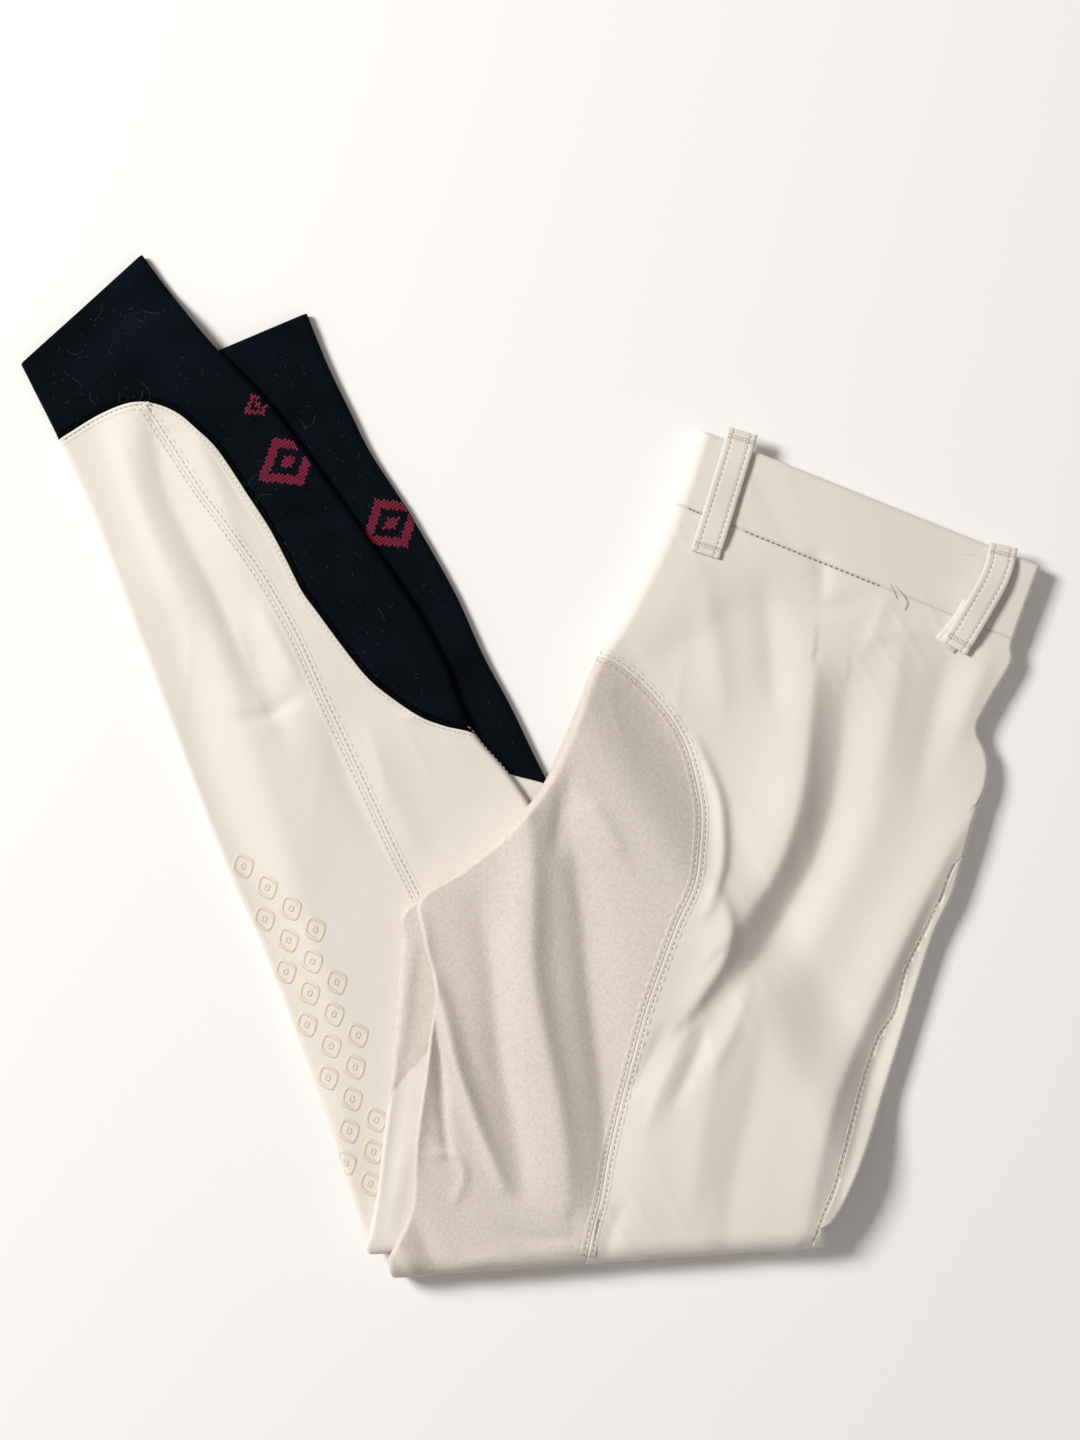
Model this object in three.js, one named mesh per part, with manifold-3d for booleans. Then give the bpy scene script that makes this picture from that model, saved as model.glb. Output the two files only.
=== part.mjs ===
import * as THREE from 'three';
import Module from 'manifold-3d';

const wasm = await Module();
wasm.setup();

// Riding breeches, folded in half along the centre line, back outside, then folded under across
// the thighs, lying on a flat surface. Millimetres, +Z up. The waist points to +X +Y, the ankles
// to -X +Y, and the fold across the thighs lies along -Y.

// Cloth thickness
const CLOTH_WALL = 1.2;
const BAND_WALL = 2.0;
const LOOP_WALL = 2.0;
const SEAM_GAP = 0.3;

// Each flattened leg is two layers of cloth with air between them
const LEG_HEIGHT = 5.85;
const LEG_PITCH = LEG_HEIGHT + SEAM_GAP;
const LEG_EDGE = LEG_HEIGHT / 2;
const SHIN_STACK = 2 * LEG_PITCH;
const THIGH_HEIGHT = LEG_PITCH + LEG_HEIGHT;
const CENTRE_BACK_EDGE = THIGH_HEIGHT / 2;
const FOLD_HEIGHT = (SHIN_STACK + THIGH_HEIGHT) / 2;
const BAND_RISE = 0.5;

// A round edge counts as this much width when columns are shared out over a piece
const EDGE_SHARE = 60;

// Sections across the right thigh, from the waist's top edge to the fold. inner is the centre-back
// fold and then the inseam, outer is the side, edge is the radius of the inner fold.
const THIGH_SECTIONS = [
  { inner: [90, 177], outer: [269, 105], edge: CENTRE_BACK_EDGE },
  { inner: [77, 138], outer: [255, 66], edge: CENTRE_BACK_EDGE },
  { inner: [66, 111], outer: [254, 54], edge: CENTRE_BACK_EDGE },
  { inner: [49, 78], outer: [242, 33], edge: CENTRE_BACK_EDGE },
  { inner: [33, 52], outer: [236, 19], edge: CENTRE_BACK_EDGE },
  { inner: [21, 22], outer: [241, 5], edge: CENTRE_BACK_EDGE },
  { inner: [6, -11], outer: [241, -8], edge: CENTRE_BACK_EDGE },
  { inner: [-16, -37], outer: [235, -26], edge: CENTRE_BACK_EDGE },
  { inner: [-38, -55], outer: [229, -48], edge: CENTRE_BACK_EDGE },
  { inner: [-58, -70], outer: [223, -68], edge: LEG_EDGE },
  { inner: [-56, -90], outer: [213, -89], edge: LEG_EDGE },
  { inner: [-50, -119], outer: [203, -120], edge: LEG_EDGE },
  { inner: [-55, -158], outer: [192, -156], edge: LEG_EDGE },
  { inner: [-60, -195], outer: [179, -196], edge: LEG_EDGE },
  { inner: [-62, -230], outer: [165, -228], edge: LEG_EDGE },
  { inner: [-70, -249], outer: [159, -238], edge: LEG_EDGE },
  { inner: [-74, -257], outer: [154, -241], edge: LEG_EDGE },
];
const BAND_SEAM = 1;

// Inseam edge of the left thigh, from the crotch to the fold, as it shows beside the right one
const LEFT_INSEAM = [
  [-65, -75], [-67, -92], [-69, -119], [-72, -156], [-76, -188], [-80, -222], [-84, -244], [-86, -251],
];
const LEFT_INSEAM_TUCK = 3.2;
const LEFT_FOLD_RADIUS = SHIN_STACK + LEG_HEIGHT - FOLD_HEIGHT;

// Sections across the left shin, which lies on top, from the ankle hem to the fold
const LEFT_SHIN_SECTIONS = [
  { inner: [-269, 212], outer: [-205, 270] },
  { inner: [-262, 198], outer: [-190, 250] },
  { inner: [-249, 172], outer: [-167, 222] },
  { inner: [-233, 137], outer: [-140, 194] },
  { inner: [-218, 98], outer: [-117, 164] },
  { inner: [-203, 58], outer: [-92, 129] },
  { inner: [-187, 15], outer: [-67, 93] },
  { inner: [-172, -25], outer: [-47, 59] },
  { inner: [-158, -59], outer: [-31, 20] },
  { inner: [-142, -94], outer: [-10, -6] },
  { inner: [-126, -135], outer: [16, -45] },
  { inner: [-110, -177], outer: [48, -92] },
  { inner: [-98, -213], outer: [85, -148] },
  { inner: [-90, -237], outer: [122, -204] },
  { inner: [-86, -251], outer: [152, -241] },
];

// Sections across the right shin, which lies on the surface
const RIGHT_SHIN_SECTIONS = [
  { inner: [-196, 206], outer: [-118, 239] },
  { inner: [-184, 178], outer: [-107, 212] },
  { inner: [-173, 151], outer: [-95, 187] },
  { inner: [-163, 125], outer: [-84, 165] },
  { inner: [-149, 88], outer: [-64, 134] },
  { inner: [-135, 40], outer: [-40, 92] },
  { inner: [-122, 3], outer: [-25, 59] },
  { inner: [-110, -34], outer: [-10, 31] },
  { inner: [-98, -71], outer: [6, -2] },
  { inner: [-86, -114], outer: [32, -50] },
  { inner: [-77, -161], outer: [64, -106] },
  { inner: [-74, -204], outer: [98, -164] },
  { inner: [-73, -230], outer: [127, -209] },
  { inner: [-74, -246], outer: [144, -230] },
  { inner: [-74, -257], outer: [154, -241] },
];

// Seams, in plan
const SEAT_SEAM = [
  [20, 63], [31, 59], [45, 54], [59, 43], [73, 27], [82, 11], [87, -6], [90, -24], [89, -43],
  [86, -62], [77, -82], [68, -106], [60, -129], [53, -155], [47, -178], [41, -204], [37, -227],
  [32, -246], [26, -280],
];
const SIDE_SEAM = [
  [242, -42], [225, -50], [216, -71], [207, -90], [198, -108], [193, -130], [184, -143],
  [175, -168], [165, -202], [160, -220], [153, -237], [138, -275],
];
const KNIT_SEAM = [
  [-254, 169], [-243, 176], [-228, 185], [-211, 191], [-199, 191], [-186, 186], [-175, 177],
  [-164, 166], [-148, 142], [-137, 125], [-128, 108], [-120, 92], [-112, 81], [-101, 66],
  [-86, 47], [-73, 36], [-58, 26], [-45, 21], [-32, 18], [-18, 13],
];
const RIGHT_KNIT_SEAM = [
  [-180, 147], [-160, 157], [-137, 164], [-124, 162], [-111, 151], [-90, 120], [-70, 75],
  [-51, 44], [-35, 15], [-22, 1], [-9, -5], [3, -8], [16, -12],
];
const CALF_SEAM = [
  [-212, 202], [-204, 190], [-190, 168], [-175, 145], [-160, 125], [-141, 98], [-124, 68],
  [-111, 39], [-99, 13], [-86, -15], [-73, -44], [-59, -68], [26, -262],
];

// Largest folds of the cloth: a soft ridge where height is positive, a trough where it is negative.
// reach is how far each fades out to the side.
const THIGH_FOLDS = [
  { height: -2.2, reach: 10, path: [[155, 11], [136, -43], [122, -71], [107, -94], [100, -113], [87, -127]] },
  { height: 2.4, reach: 6, path: [[96, -6], [100, -24], [100, -52], [93, -73], [94, -92], [90, -108]] },
  { height: -1.2, reach: 10, path: [[105, 29], [94, -2]] },
  { height: -1.2, reach: 16, path: [[127, 88], [69, 56]] },
  { height: -1.5, reach: 10, path: [[215, 41], [210, -6]] },
  { height: 2.4, reach: 13, path: [[222, -42], [186, -98], [159, -145], [143, -183], [138, -238]] },
  { height: -1.2, reach: 9, path: [[201, -92], [176, -140], [160, -186]] },
  { height: -1.5, reach: 7, path: [[18, -14], [9, -36]] },
  { height: 1.0, reach: 8, path: [[32, -18], [48, -45]] },
  { height: -1.2, reach: 12, path: [[-22, -71], [-14, -177]] },
  { height: 2.0, reach: 6, path: [[-45, -118], [-42, -133], [-37, -153], [-31, -177], [-9, -222]] },
  { height: -1.4, reach: 6, path: [[-52, -140], [-47, -160], [-41, -184], [-33, -204], [-20, -229]] },
  { height: -1.2, reach: 6, path: [[-60, -239], [-50, -256]] },
  { height: -1.0, reach: 7, path: [[49, -229], [42, -256]] },
];
const SHIN_FOLDS = [
  { height: -1.2, reach: 11, path: [[-209, 178], [-193, 130], [-167, 66], [-143, 24]] },
  { height: -0.9, reach: 9, path: [[-129, 30], [-126, 22]] },
  { height: -1.0, reach: 7, path: [[-133, 132], [-106, 134]] },
  { height: -1.0, reach: 7, path: [[-69, 38], [-38, 39]] },
];
const DEEPEST_FOLD = 3.2;

// Where the shins lift the thigh off the surface, and where the right shin lifts the left one
const SHIN_EDGE = { from: [0, 18], to: [153, -241], lead: 24, ramp: 45 };
const ANKLE_RAMP = 25;
const SHIN_RAMP = 30;
const SHIN_LEAD = 18;

const lerp = (a, b, t) => a + (b - a) * t;
const clamp = (value, low, high) => Math.min(high, Math.max(low, value));

function easeIn(value) {
  const t = clamp(value, 0, 1);
  return t * t * (3 - 2 * t);
}

// Distance to the left of the line from one plan point through another
function leftOf(line, x, y) {
  const dx = line.to[0] - line.from[0];
  const dy = line.to[1] - line.from[1];
  return (dx * (y - line.from[1]) - dy * (x - line.from[0])) / Math.hypot(dx, dy);
}

// Nearest place on a path: how far off it the point is, and how far along it that place lies, 0 to 1
function nearest(path, x, y) {
  let off = Infinity;
  let along = 0;
  const spans = path.length - 1;
  for (let i = 0; i < spans; i += 1) {
    const [ax, ay] = path[i];
    const dx = path[i + 1][0] - ax;
    const dy = path[i + 1][1] - ay;
    const t = clamp(((x - ax) * dx + (y - ay) * dy) / (dx * dx + dy * dy), 0, 1);
    const distance = Math.hypot(x - ax - dx * t, y - ay - dy * t);
    if (distance < off) {
      off = distance;
      along = (i + t) / spans;
    }
  }
  return { off, along };
}

function foldHeight(folds, x, y) {
  let height = 0;
  for (const fold of folds) {
    const { off, along } = nearest(fold.path, x, y);
    if (off < 3 * fold.reach) {
      const taper = Math.sqrt(Math.sin(Math.PI * lerp(0.12, 0.88, along)));
      height += fold.height * taper * Math.exp(-((off / fold.reach) ** 2));
    }
  }
  return height;
}

// Smooth curve through one plan column of a table of sections, at a fractional row
function smoothRow(sections, column, s) {
  const last = sections.length - 1;
  const i = clamp(Math.floor(s), 0, last - 1);
  const t = s - i;
  const at = (k) => sections[clamp(k, 0, last)][column];
  const p = [at(i - 1), at(i), at(i + 1), at(i + 2)];
  return [0, 1].map((axis) => {
    const [a, b, c, d] = p.map((point) => point[axis]);
    return b + 0.5 * t * (c - a + t * (2 * a - 5 * b + 4 * c - d + t * (3 * (b - c) + d - a)));
  });
}

// X of a descending edge at a given Y
function edgeX(points, y) {
  for (let i = 0; i + 1 < points.length; i += 1) {
    const [ax, ay] = points[i];
    const [bx, by] = points[i + 1];
    if (y <= ay && y >= by) {
      return lerp(ax, bx, (ay - y) / (ay - by));
    }
  }
  return y > points[0][1] ? points[0][0] : points[points.length - 1][0];
}

const RIGHT_SHIN_INNER = RIGHT_SHIN_SECTIONS.map((row) => row.inner);
const THIGH_INNER = THIGH_SECTIONS.map((row) => row.inner);
const RIGHT_HEM = { from: RIGHT_SHIN_SECTIONS[0].outer, to: RIGHT_SHIN_SECTIONS[0].inner };

// Height of the surface under each flattened leg
function underThigh(x, y) {
  const inside = -leftOf(SHIN_EDGE, x, y);
  return SHIN_STACK * easeIn((inside + SHIN_EDGE.lead + SHIN_EDGE.ramp) / SHIN_EDGE.ramp);
}

function underLeftShin(x, y) {
  const inside = x - edgeX(RIGHT_SHIN_INNER, y);
  const below = leftOf(RIGHT_HEM, x, y);
  const side = easeIn((inside + SHIN_LEAD + SHIN_RAMP) / SHIN_RAMP);
  return LEG_PITCH * side * easeIn((below + SHIN_LEAD + ANKLE_RAMP) / ANKLE_RAMP);
}

// A flattened leg: its sections, its height, the surface under it and its folds
const rightThigh = {
  sections: THIGH_SECTIONS,
  height: THIGH_HEIGHT,
  outerEdge: LEG_EDGE,
  under: underThigh,
  folds: THIGH_FOLDS,
  foldRadius: FOLD_HEIGHT,
};
const leftThigh = {
  sections: LEFT_INSEAM.map(([x, y]) => ({
    inner: [x, y],
    outer: [Math.min(edgeX(THIGH_INNER, y), edgeX(THIGH_INNER, y - LEFT_FOLD_RADIUS)) + LEFT_INSEAM_TUCK, y],
    edge: LEG_EDGE,
  })),
  height: LEG_HEIGHT,
  outerEdge: 0,
  under: underThigh,
  folds: [],
  foldRadius: LEFT_FOLD_RADIUS,
};
const leftShin = {
  sections: LEFT_SHIN_SECTIONS.map((row) => ({ ...row, edge: LEG_EDGE })),
  height: LEG_HEIGHT,
  outerEdge: LEG_EDGE,
  under: underLeftShin,
  folds: SHIN_FOLDS,
};
const rightShin = {
  sections: RIGHT_SHIN_SECTIONS.map((row) => ({ ...row, edge: LEG_EDGE })),
  height: LEG_HEIGHT,
  outerEdge: LEG_EDGE,
  under: () => 0,
  folds: [],
};

// One section across a leg. Past the last row, s turns through the half circle of the fold.
function sectionAt(leg, s) {
  const last = leg.sections.length - 1;
  const row = Math.min(s, last);
  const inner = smoothRow(leg.sections, 'inner', row);
  const outer = smoothRow(leg.sections, 'outer', row);
  const width = Math.hypot(outer[0] - inner[0], outer[1] - inner[1]);
  const across = [(outer[0] - inner[0]) / width, (outer[1] - inner[1]) / width];
  const i = Math.min(Math.floor(row), last - 1);
  const edge = lerp(leg.sections[i].edge, leg.sections[i + 1].edge, easeIn(row - i));
  const flat = width - edge - leg.outerEdge;
  return { inner, across, width, edge, flat, turn: Math.PI * Math.max(0, s - last) };
}

// A point of a leg's cloth. place runs round the section: below 0 round the inner fold, 0 to flat
// over the top, then round the outer fold, back underneath and round the inner fold again.
function legPoint(leg, s, place, depth, rise = 0) {
  const cut = sectionAt(leg, s);
  const outerEnd = cut.flat + EDGE_SHARE;
  const underEnd = outerEnd + cut.flat;
  let along;
  let drop;
  let outerDrop;
  const roundEdge = (centre, radius, angle) => {
    along = centre + (radius - depth) * Math.cos(angle);
    drop = radius - (radius - depth) * Math.sin(angle);
    outerDrop = radius - radius * Math.sin(angle);
  };
  if (place < 0) {
    roundEdge(cut.edge, cut.edge, Math.PI * (0.5 - place / EDGE_SHARE));
  } else if (place <= cut.flat) {
    along = cut.edge + place;
    drop = depth;
    outerDrop = 0;
  } else if (place <= outerEnd) {
    roundEdge(cut.width - leg.outerEdge, leg.outerEdge, Math.PI * (0.5 - (place - cut.flat) / EDGE_SHARE));
  } else if (place <= underEnd) {
    along = cut.width - leg.outerEdge - (place - outerEnd);
    drop = leg.height - depth;
    outerDrop = leg.height;
  } else {
    roundEdge(cut.edge, cut.edge, -Math.PI * (0.5 + (place - underEnd) / EDGE_SHARE));
  }
  const x = cut.inner[0] + cut.across[0] * along;
  const y = cut.inner[1] + cut.across[1] * along;
  const share = 1 - clamp(outerDrop / LEG_HEIGHT, 0, 1);
  const fold = foldHeight(leg.folds, x, y) * share;
  if (cut.turn === 0) {
    return [x, y, leg.under(x, y) + leg.height + fold + rise - drop];
  }
  const radius = leg.foldRadius + fold * Math.cos(cut.turn / 2) ** 2 - drop;
  const out = radius * Math.sin(cut.turn);
  return [x + cut.across[1] * out, y - cut.across[0] * out, FOLD_HEIGHT + radius * Math.cos(cut.turn)];
}

// Closed solid from a grid of outer points, the matching inner points and the four rims
function wallSolid(rows, columns, outer, inner) {
  const points = [];
  const faces = [];
  for (let i = 0; i <= rows; i += 1) {
    for (let j = 0; j <= columns; j += 1) {
      points.push(outer(i, j), inner(i, j));
    }
  }
  const at = (i, j, side) => 2 * (i * (columns + 1) + j) + side;
  const quad = (a, b, c, d) => faces.push(a, b, c, a, c, d);
  for (let i = 0; i < rows; i += 1) {
    for (let j = 0; j < columns; j += 1) {
      quad(at(i, j, 0), at(i + 1, j, 0), at(i + 1, j + 1, 0), at(i, j + 1, 0));
      quad(at(i, j, 1), at(i, j + 1, 1), at(i + 1, j + 1, 1), at(i + 1, j, 1));
    }
    quad(at(i, 0, 0), at(i, 0, 1), at(i + 1, 0, 1), at(i + 1, 0, 0));
    quad(at(i, columns, 0), at(i + 1, columns, 0), at(i + 1, columns, 1), at(i, columns, 1));
  }
  for (let j = 0; j < columns; j += 1) {
    quad(at(0, j, 0), at(0, j + 1, 0), at(0, j + 1, 1), at(0, j, 1));
    quad(at(rows, j, 0), at(rows, j, 1), at(rows, j + 1, 1), at(rows, j + 1, 0));
  }
  return closedSolid(points, faces);
}

// Closed solid through a row of rings, each with the same number of points. Each end is closed by
// triangles round its middle.
function ringSolid(rings) {
  const count = rings[0].length;
  const faces = [];
  for (let i = 0; i + 1 < rings.length; i += 1) {
    for (let j = 0; j < count; j += 1) {
      const k = (j + 1) % count;
      const a = i * count;
      const b = a + count;
      faces.push(a + j, b + j, b + k, a + j, b + k, a + k);
    }
  }
  const last = rings.length - 1;
  const middle = rings.length * count;
  for (let j = 0; j < count; j += 1) {
    const k = (j + 1) % count;
    faces.push(middle, j, k, middle + 1, last * count + k, last * count + j);
  }
  const mean = (ring, axis) => ring.reduce((sum, point) => sum + point[axis], 0) / count;
  const middleOf = (ring) => [0, 1, 2].map((axis) => mean(ring, axis));
  return closedSolid([...rings.flat(), middleOf(rings[0]), middleOf(rings[last])], faces);
}

// A manifold solid with its faces pointing out, from its points and triangles
function closedSolid(points, faces) {
  let volume = 0;
  for (let i = 0; i < faces.length; i += 3) {
    const [a, b, c] = [0, 1, 2].map((k) => new THREE.Vector3(...points[faces[i + k]]));
    volume += a.dot(b.cross(c));
  }
  const triVerts = new Uint32Array(volume > 0 ? faces : [...faces].reverse());
  const vertProperties = new Float32Array(points.flat());
  return new wasm.Manifold(new wasm.Mesh({ numProp: 3, vertProperties, triVerts }));
}

// Rows about `step` apart, measured along the longer edge of the leg, then round the fold
const FOLD_ROWS = 6;
function rowsAlong(leg, from, to, step) {
  const straight = Math.min(to, leg.sections.length - 1);
  const rows = [from];
  let s = from;
  while (s < straight) {
    const here = sectionAt(leg, s);
    const next = sectionAt(leg, s + 0.1);
    const end = (cut) => cut.inner.map((value, axis) => value + cut.across[axis] * cut.width);
    const [p, q] = [end(here), end(next)];
    const inner = Math.hypot(here.inner[0] - next.inner[0], here.inner[1] - next.inner[1]);
    const outer = Math.hypot(p[0] - q[0], p[1] - q[1]);
    s += (0.1 * step) / Math.max(inner, outer, 0.1);
    if (straight - s < (0.05 * step) / Math.max(inner, outer, 0.1)) {
      s = straight;
    }
    rows.push(s);
  }
  for (let i = 1; straight < to && i <= FOLD_ROWS; i += 1) {
    rows.push(straight + i / FOLD_ROWS);
  }
  return rows;
}

// Cloth of a leg over these rows and places round its sections. flatColumns are shared out over
// the top and again over the underside, edgeColumns over each round edge.
function legCloth(leg, rows, { start, end, flatColumns, edgeColumns, wall = CLOTH_WALL, rise = 0 }) {
  const places = (s) => {
    const { flat } = sectionAt(leg, s);
    const stops = [-EDGE_SHARE, 0, flat, flat + EDGE_SHARE, 2 * flat + EDGE_SHARE, 2 * flat + 2 * EDGE_SHARE];
    const list = [];
    for (let part = start; part < end; part += 0.5) {
      const columns = (Math.floor(part) % 2 === 0 ? edgeColumns : flatColumns) / 2;
      const from = lerp(stops[Math.floor(part)], stops[Math.floor(part) + 1], part % 1);
      const to = lerp(stops[Math.floor(part)], stops[Math.floor(part) + 1], (part % 1) + 0.5);
      for (let k = 0; k < columns; k += 1) {
        list.push(lerp(from, to, k / columns));
      }
    }
    const last = Math.floor(end - 0.5);
    list.push(lerp(stops[last], stops[last + 1], end - last));
    return list;
  };
  const rowPlaces = rows.map(places);
  const outer = (i, j) => legPoint(leg, rows[i], rowPlaces[i][j], 0, rise);
  const inner = (i, j) => legPoint(leg, rows[i], rowPlaces[i][j], wall, rise);
  return wallSolid(rows.length - 1, rowPlaces[0].length - 1, outer, inner);
}

// Parts of a leg's section, for legCloth: 0 to 1 the inner round edge, 1 to 2 the top, 2 to 3 the
// outer round edge, 3 to 4 the underside, 4 to 5 the inner round edge again
const ARCH = { start: 0, end: 3 };
const TUBE = { start: 0.5, end: 4.5 };

// Upright blade that parts the cloth along a seam
const BLADE_LOW = -10;
const BLADE_HIGH = 50;
function seamBlade(path, width = SEAM_GAP) {
  const sides = path.map(([x, y], i) => {
    const [px, py] = path[Math.max(i - 1, 0)];
    const [nx, ny] = path[Math.min(i + 1, path.length - 1)];
    const length = Math.hypot(nx - px, ny - py);
    const off = [((ny - py) * width) / 2 / length, ((px - nx) * width) / 2 / length];
    return [[x + off[0], y + off[1]], [x - off[0], y - off[1]]];
  });
  const height = (j) => (j === 0 ? BLADE_LOW : BLADE_HIGH);
  const face = (side) => (i, j) => [...sides[i][side], height(j)];
  return wallSolid(path.length - 1, 1, face(0), face(1));
}

// The tables above have their middle a little off the middle of the finished outline
const MIDDLE_Y = 0.55;
const group = new THREE.Group();
group.position.y = -MIDDLE_Y;
const CREAM = 0xeae3d7;
const PATCH = 0xd3c8bd;
const NAVY = 0x131a26;

function add(name, solid, color, roughness) {
  const { vertProperties, triVerts } = solid.getMesh();
  const geometry = new THREE.BufferGeometry();
  geometry.setAttribute('position', new THREE.Float32BufferAttribute(vertProperties, 3));
  geometry.setIndex([...triVerts]);
  geometry.computeVertexNormals();
  const mesh = new THREE.Mesh(geometry, new THREE.MeshStandardMaterial({ color, roughness, metalness: 0 }));
  mesh.name = name;
  group.add(mesh);
}

// Pieces of a cut cloth, from the lowest X to the highest, without the blade's crumbs
const CRUMB = 1;
function piecesByX(solid) {
  const pieces = solid.decompose().filter((piece) => piece.volume() > CRUMB);
  return pieces.sort((a, b) => a.boundingBox().min[0] - b.boundingBox().min[0]);
}

// Right thigh: seat patch, back panel and the strip of the front panel beyond the side seam
const FOLD_ROW = THIGH_SECTIONS.length - 1;
const thighRows = rowsAlong(rightThigh, BAND_SEAM + 0.01, FOLD_ROW + 1, 15);
const thighCloth = legCloth(rightThigh, thighRows, { ...ARCH, flatColumns: 18, edgeColumns: 4 })
  .subtract(seamBlade(SEAT_SEAM))
  .subtract(seamBlade(SIDE_SEAM));
const [seatPatch, backPanel, frontPanel] = piecesByX(thighCloth);
add('seat_patch_right', seatPatch, PATCH, 0.75);
add('back_panel_right', backPanel, CREAM, 0.8);
add('front_panel_right', frontPanel, CREAM, 0.8);

// Left thigh: only its inseam edge shows
const leftRows = rowsAlong(leftThigh, 0, leftThigh.sections.length, 20);
add('seat_patch_left', legCloth(leftThigh, leftRows, { start: 0, end: 2, flatColumns: 2, edgeColumns: 4 }),
  PATCH, 0.75);

// Waistband: doubled cloth over the hip, folded round the centre back and the side
const bandRows = [0, 0.33, 0.66, BAND_SEAM - 0.01];
add('waistband', legCloth(rightThigh, bandRows, {
  ...ARCH, flatColumns: 16, edgeColumns: 4, wall: BAND_WALL, rise: BAND_RISE,
}), CREAM, 0.8);

// Shins: each a flattened tube, the knit parted from the cloth along its curved border
const SHIN_ROW = LEFT_SHIN_SECTIONS.length - 1;
const SHIN_END = SHIN_ROW - 0.01;
const leftTube = legCloth(leftShin, rowsAlong(leftShin, 0, SHIN_END, 24), {
  ...TUBE, flatColumns: 8, edgeColumns: 4,
}).subtract(seamBlade(KNIT_SEAM));
const [leftKnit, leftCloth] = piecesByX(leftTube);
add('knit_cuff_left', leftKnit, NAVY, 0.95);

// Below the knit the cloth is parted along the double seam and, underneath, along the inseam
const [calfTop, calfUnder, calfOuter] = piecesByX(leftCloth.subtract(seamBlade(CALF_SEAM)));
const byHeight = [calfTop, calfUnder].sort((p, q) => q.boundingBox().max[2] - p.boundingBox().max[2]);
add('calf_inner_left', byHeight[0], CREAM, 0.8);
add('front_panel_left', byHeight[1], CREAM, 0.8);
add('calf_outer_left', calfOuter, CREAM, 0.8);

const rightTube = legCloth(rightShin, rowsAlong(rightShin, 0, SHIN_END, 30), {
  ...TUBE, flatColumns: 4, edgeColumns: 4,
}).subtract(seamBlade(RIGHT_KNIT_SEAM));
const [rightKnit, rightCloth] = piecesByX(rightTube);
add('knit_cuff_right', rightKnit, NAVY, 0.95);
add('calf_right', rightCloth, CREAM, 0.8);

// Hidden layers of the thigh: right front, left front and left back in one rounded solid. Its
// profile at each section steps at the side, where the left leg's fold shows below the right one.
const HIDDEN_TOP = THIGH_HEIGHT - CLOTH_WALL - SEAM_GAP - DEEPEST_FOLD;
const HIDDEN_SIDE_GAP = 1.6;
const HIDDEN_INNER = 4;
const LEFT_FOLD_SET = 2;
function hiddenProfile(cut) {
  const inner = Math.max(cut.edge, HIDDEN_INNER) + HIDDEN_SIDE_GAP;
  const outer = cut.width - LEG_EDGE - HIDDEN_SIDE_GAP;
  const leftOuter = cut.width - LEFT_FOLD_SET - LEG_EDGE;
  const profile = [];
  const across = 9;
  for (let k = 0; k <= across; k += 1) {
    profile.push([lerp(inner + 1, outer - 1, k / across), HIDDEN_TOP]);
  }
  profile.push([outer, HIDDEN_TOP - 1], [outer, LEG_PITCH + 0.2], [outer - 2, LEG_HEIGHT]);
  for (let k = 0; k <= 4; k += 1) {
    const angle = Math.PI * (0.5 - k / 4);
    profile.push([leftOuter + LEG_EDGE * Math.cos(angle), LEG_EDGE + LEG_EDGE * Math.sin(angle)]);
  }
  for (let k = across; k >= 0; k -= 1) {
    profile.push([lerp(inner + 1, leftOuter - 3, k / across), 0]);
  }
  profile.push([inner, 1], [inner, HIDDEN_TOP - 1]);
  return profile;
}

function hiddenRing(s) {
  const cut = sectionAt(rightThigh, s);
  return hiddenProfile(cut).map(([along, height]) => {
    const x = cut.inner[0] + cut.across[0] * along;
    const y = cut.inner[1] + cut.across[1] * along;
    return [x, y, underThigh(x, y) + height];
  });
}

const hiddenRows = [];
for (let s = BAND_SEAM + 0.03; s < FOLD_ROW; s += 0.5) {
  hiddenRows.push(s);
}
hiddenRows.push(FOLD_ROW - 0.01);
add('hidden_thigh_layers', ringSolid(hiddenRows.map(hiddenRing)), CREAM, 0.8);

// The same layers turned round the fold, as a half round bar
const FOLD_BAR = FOLD_HEIGHT - CLOTH_WALL - SEAM_GAP - DEEPEST_FOLD;
function foldBar() {
  const cut = sectionAt(rightThigh, FOLD_ROW);
  const steps = 8;
  const profile = [];
  for (let k = 0; k <= steps; k += 1) {
    const angle = (Math.PI * k) / steps;
    profile.push([FOLD_BAR * Math.sin(angle) + SEAM_GAP, FOLD_BAR * Math.cos(angle)]);
  }
  const ends = [HIDDEN_INNER + HIDDEN_SIDE_GAP, cut.width - LEG_EDGE - HIDDEN_SIDE_GAP];
  return ringSolid(ends.map((along) => profile.map(([out, height]) => [
    cut.inner[0] + cut.across[0] * along + cut.across[1] * out,
    cut.inner[1] + cut.across[1] * along - cut.across[0] * out,
    FOLD_HEIGHT + height,
  ])));
}
add('hidden_fold_layers', foldBar(), CREAM, 0.8);

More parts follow.
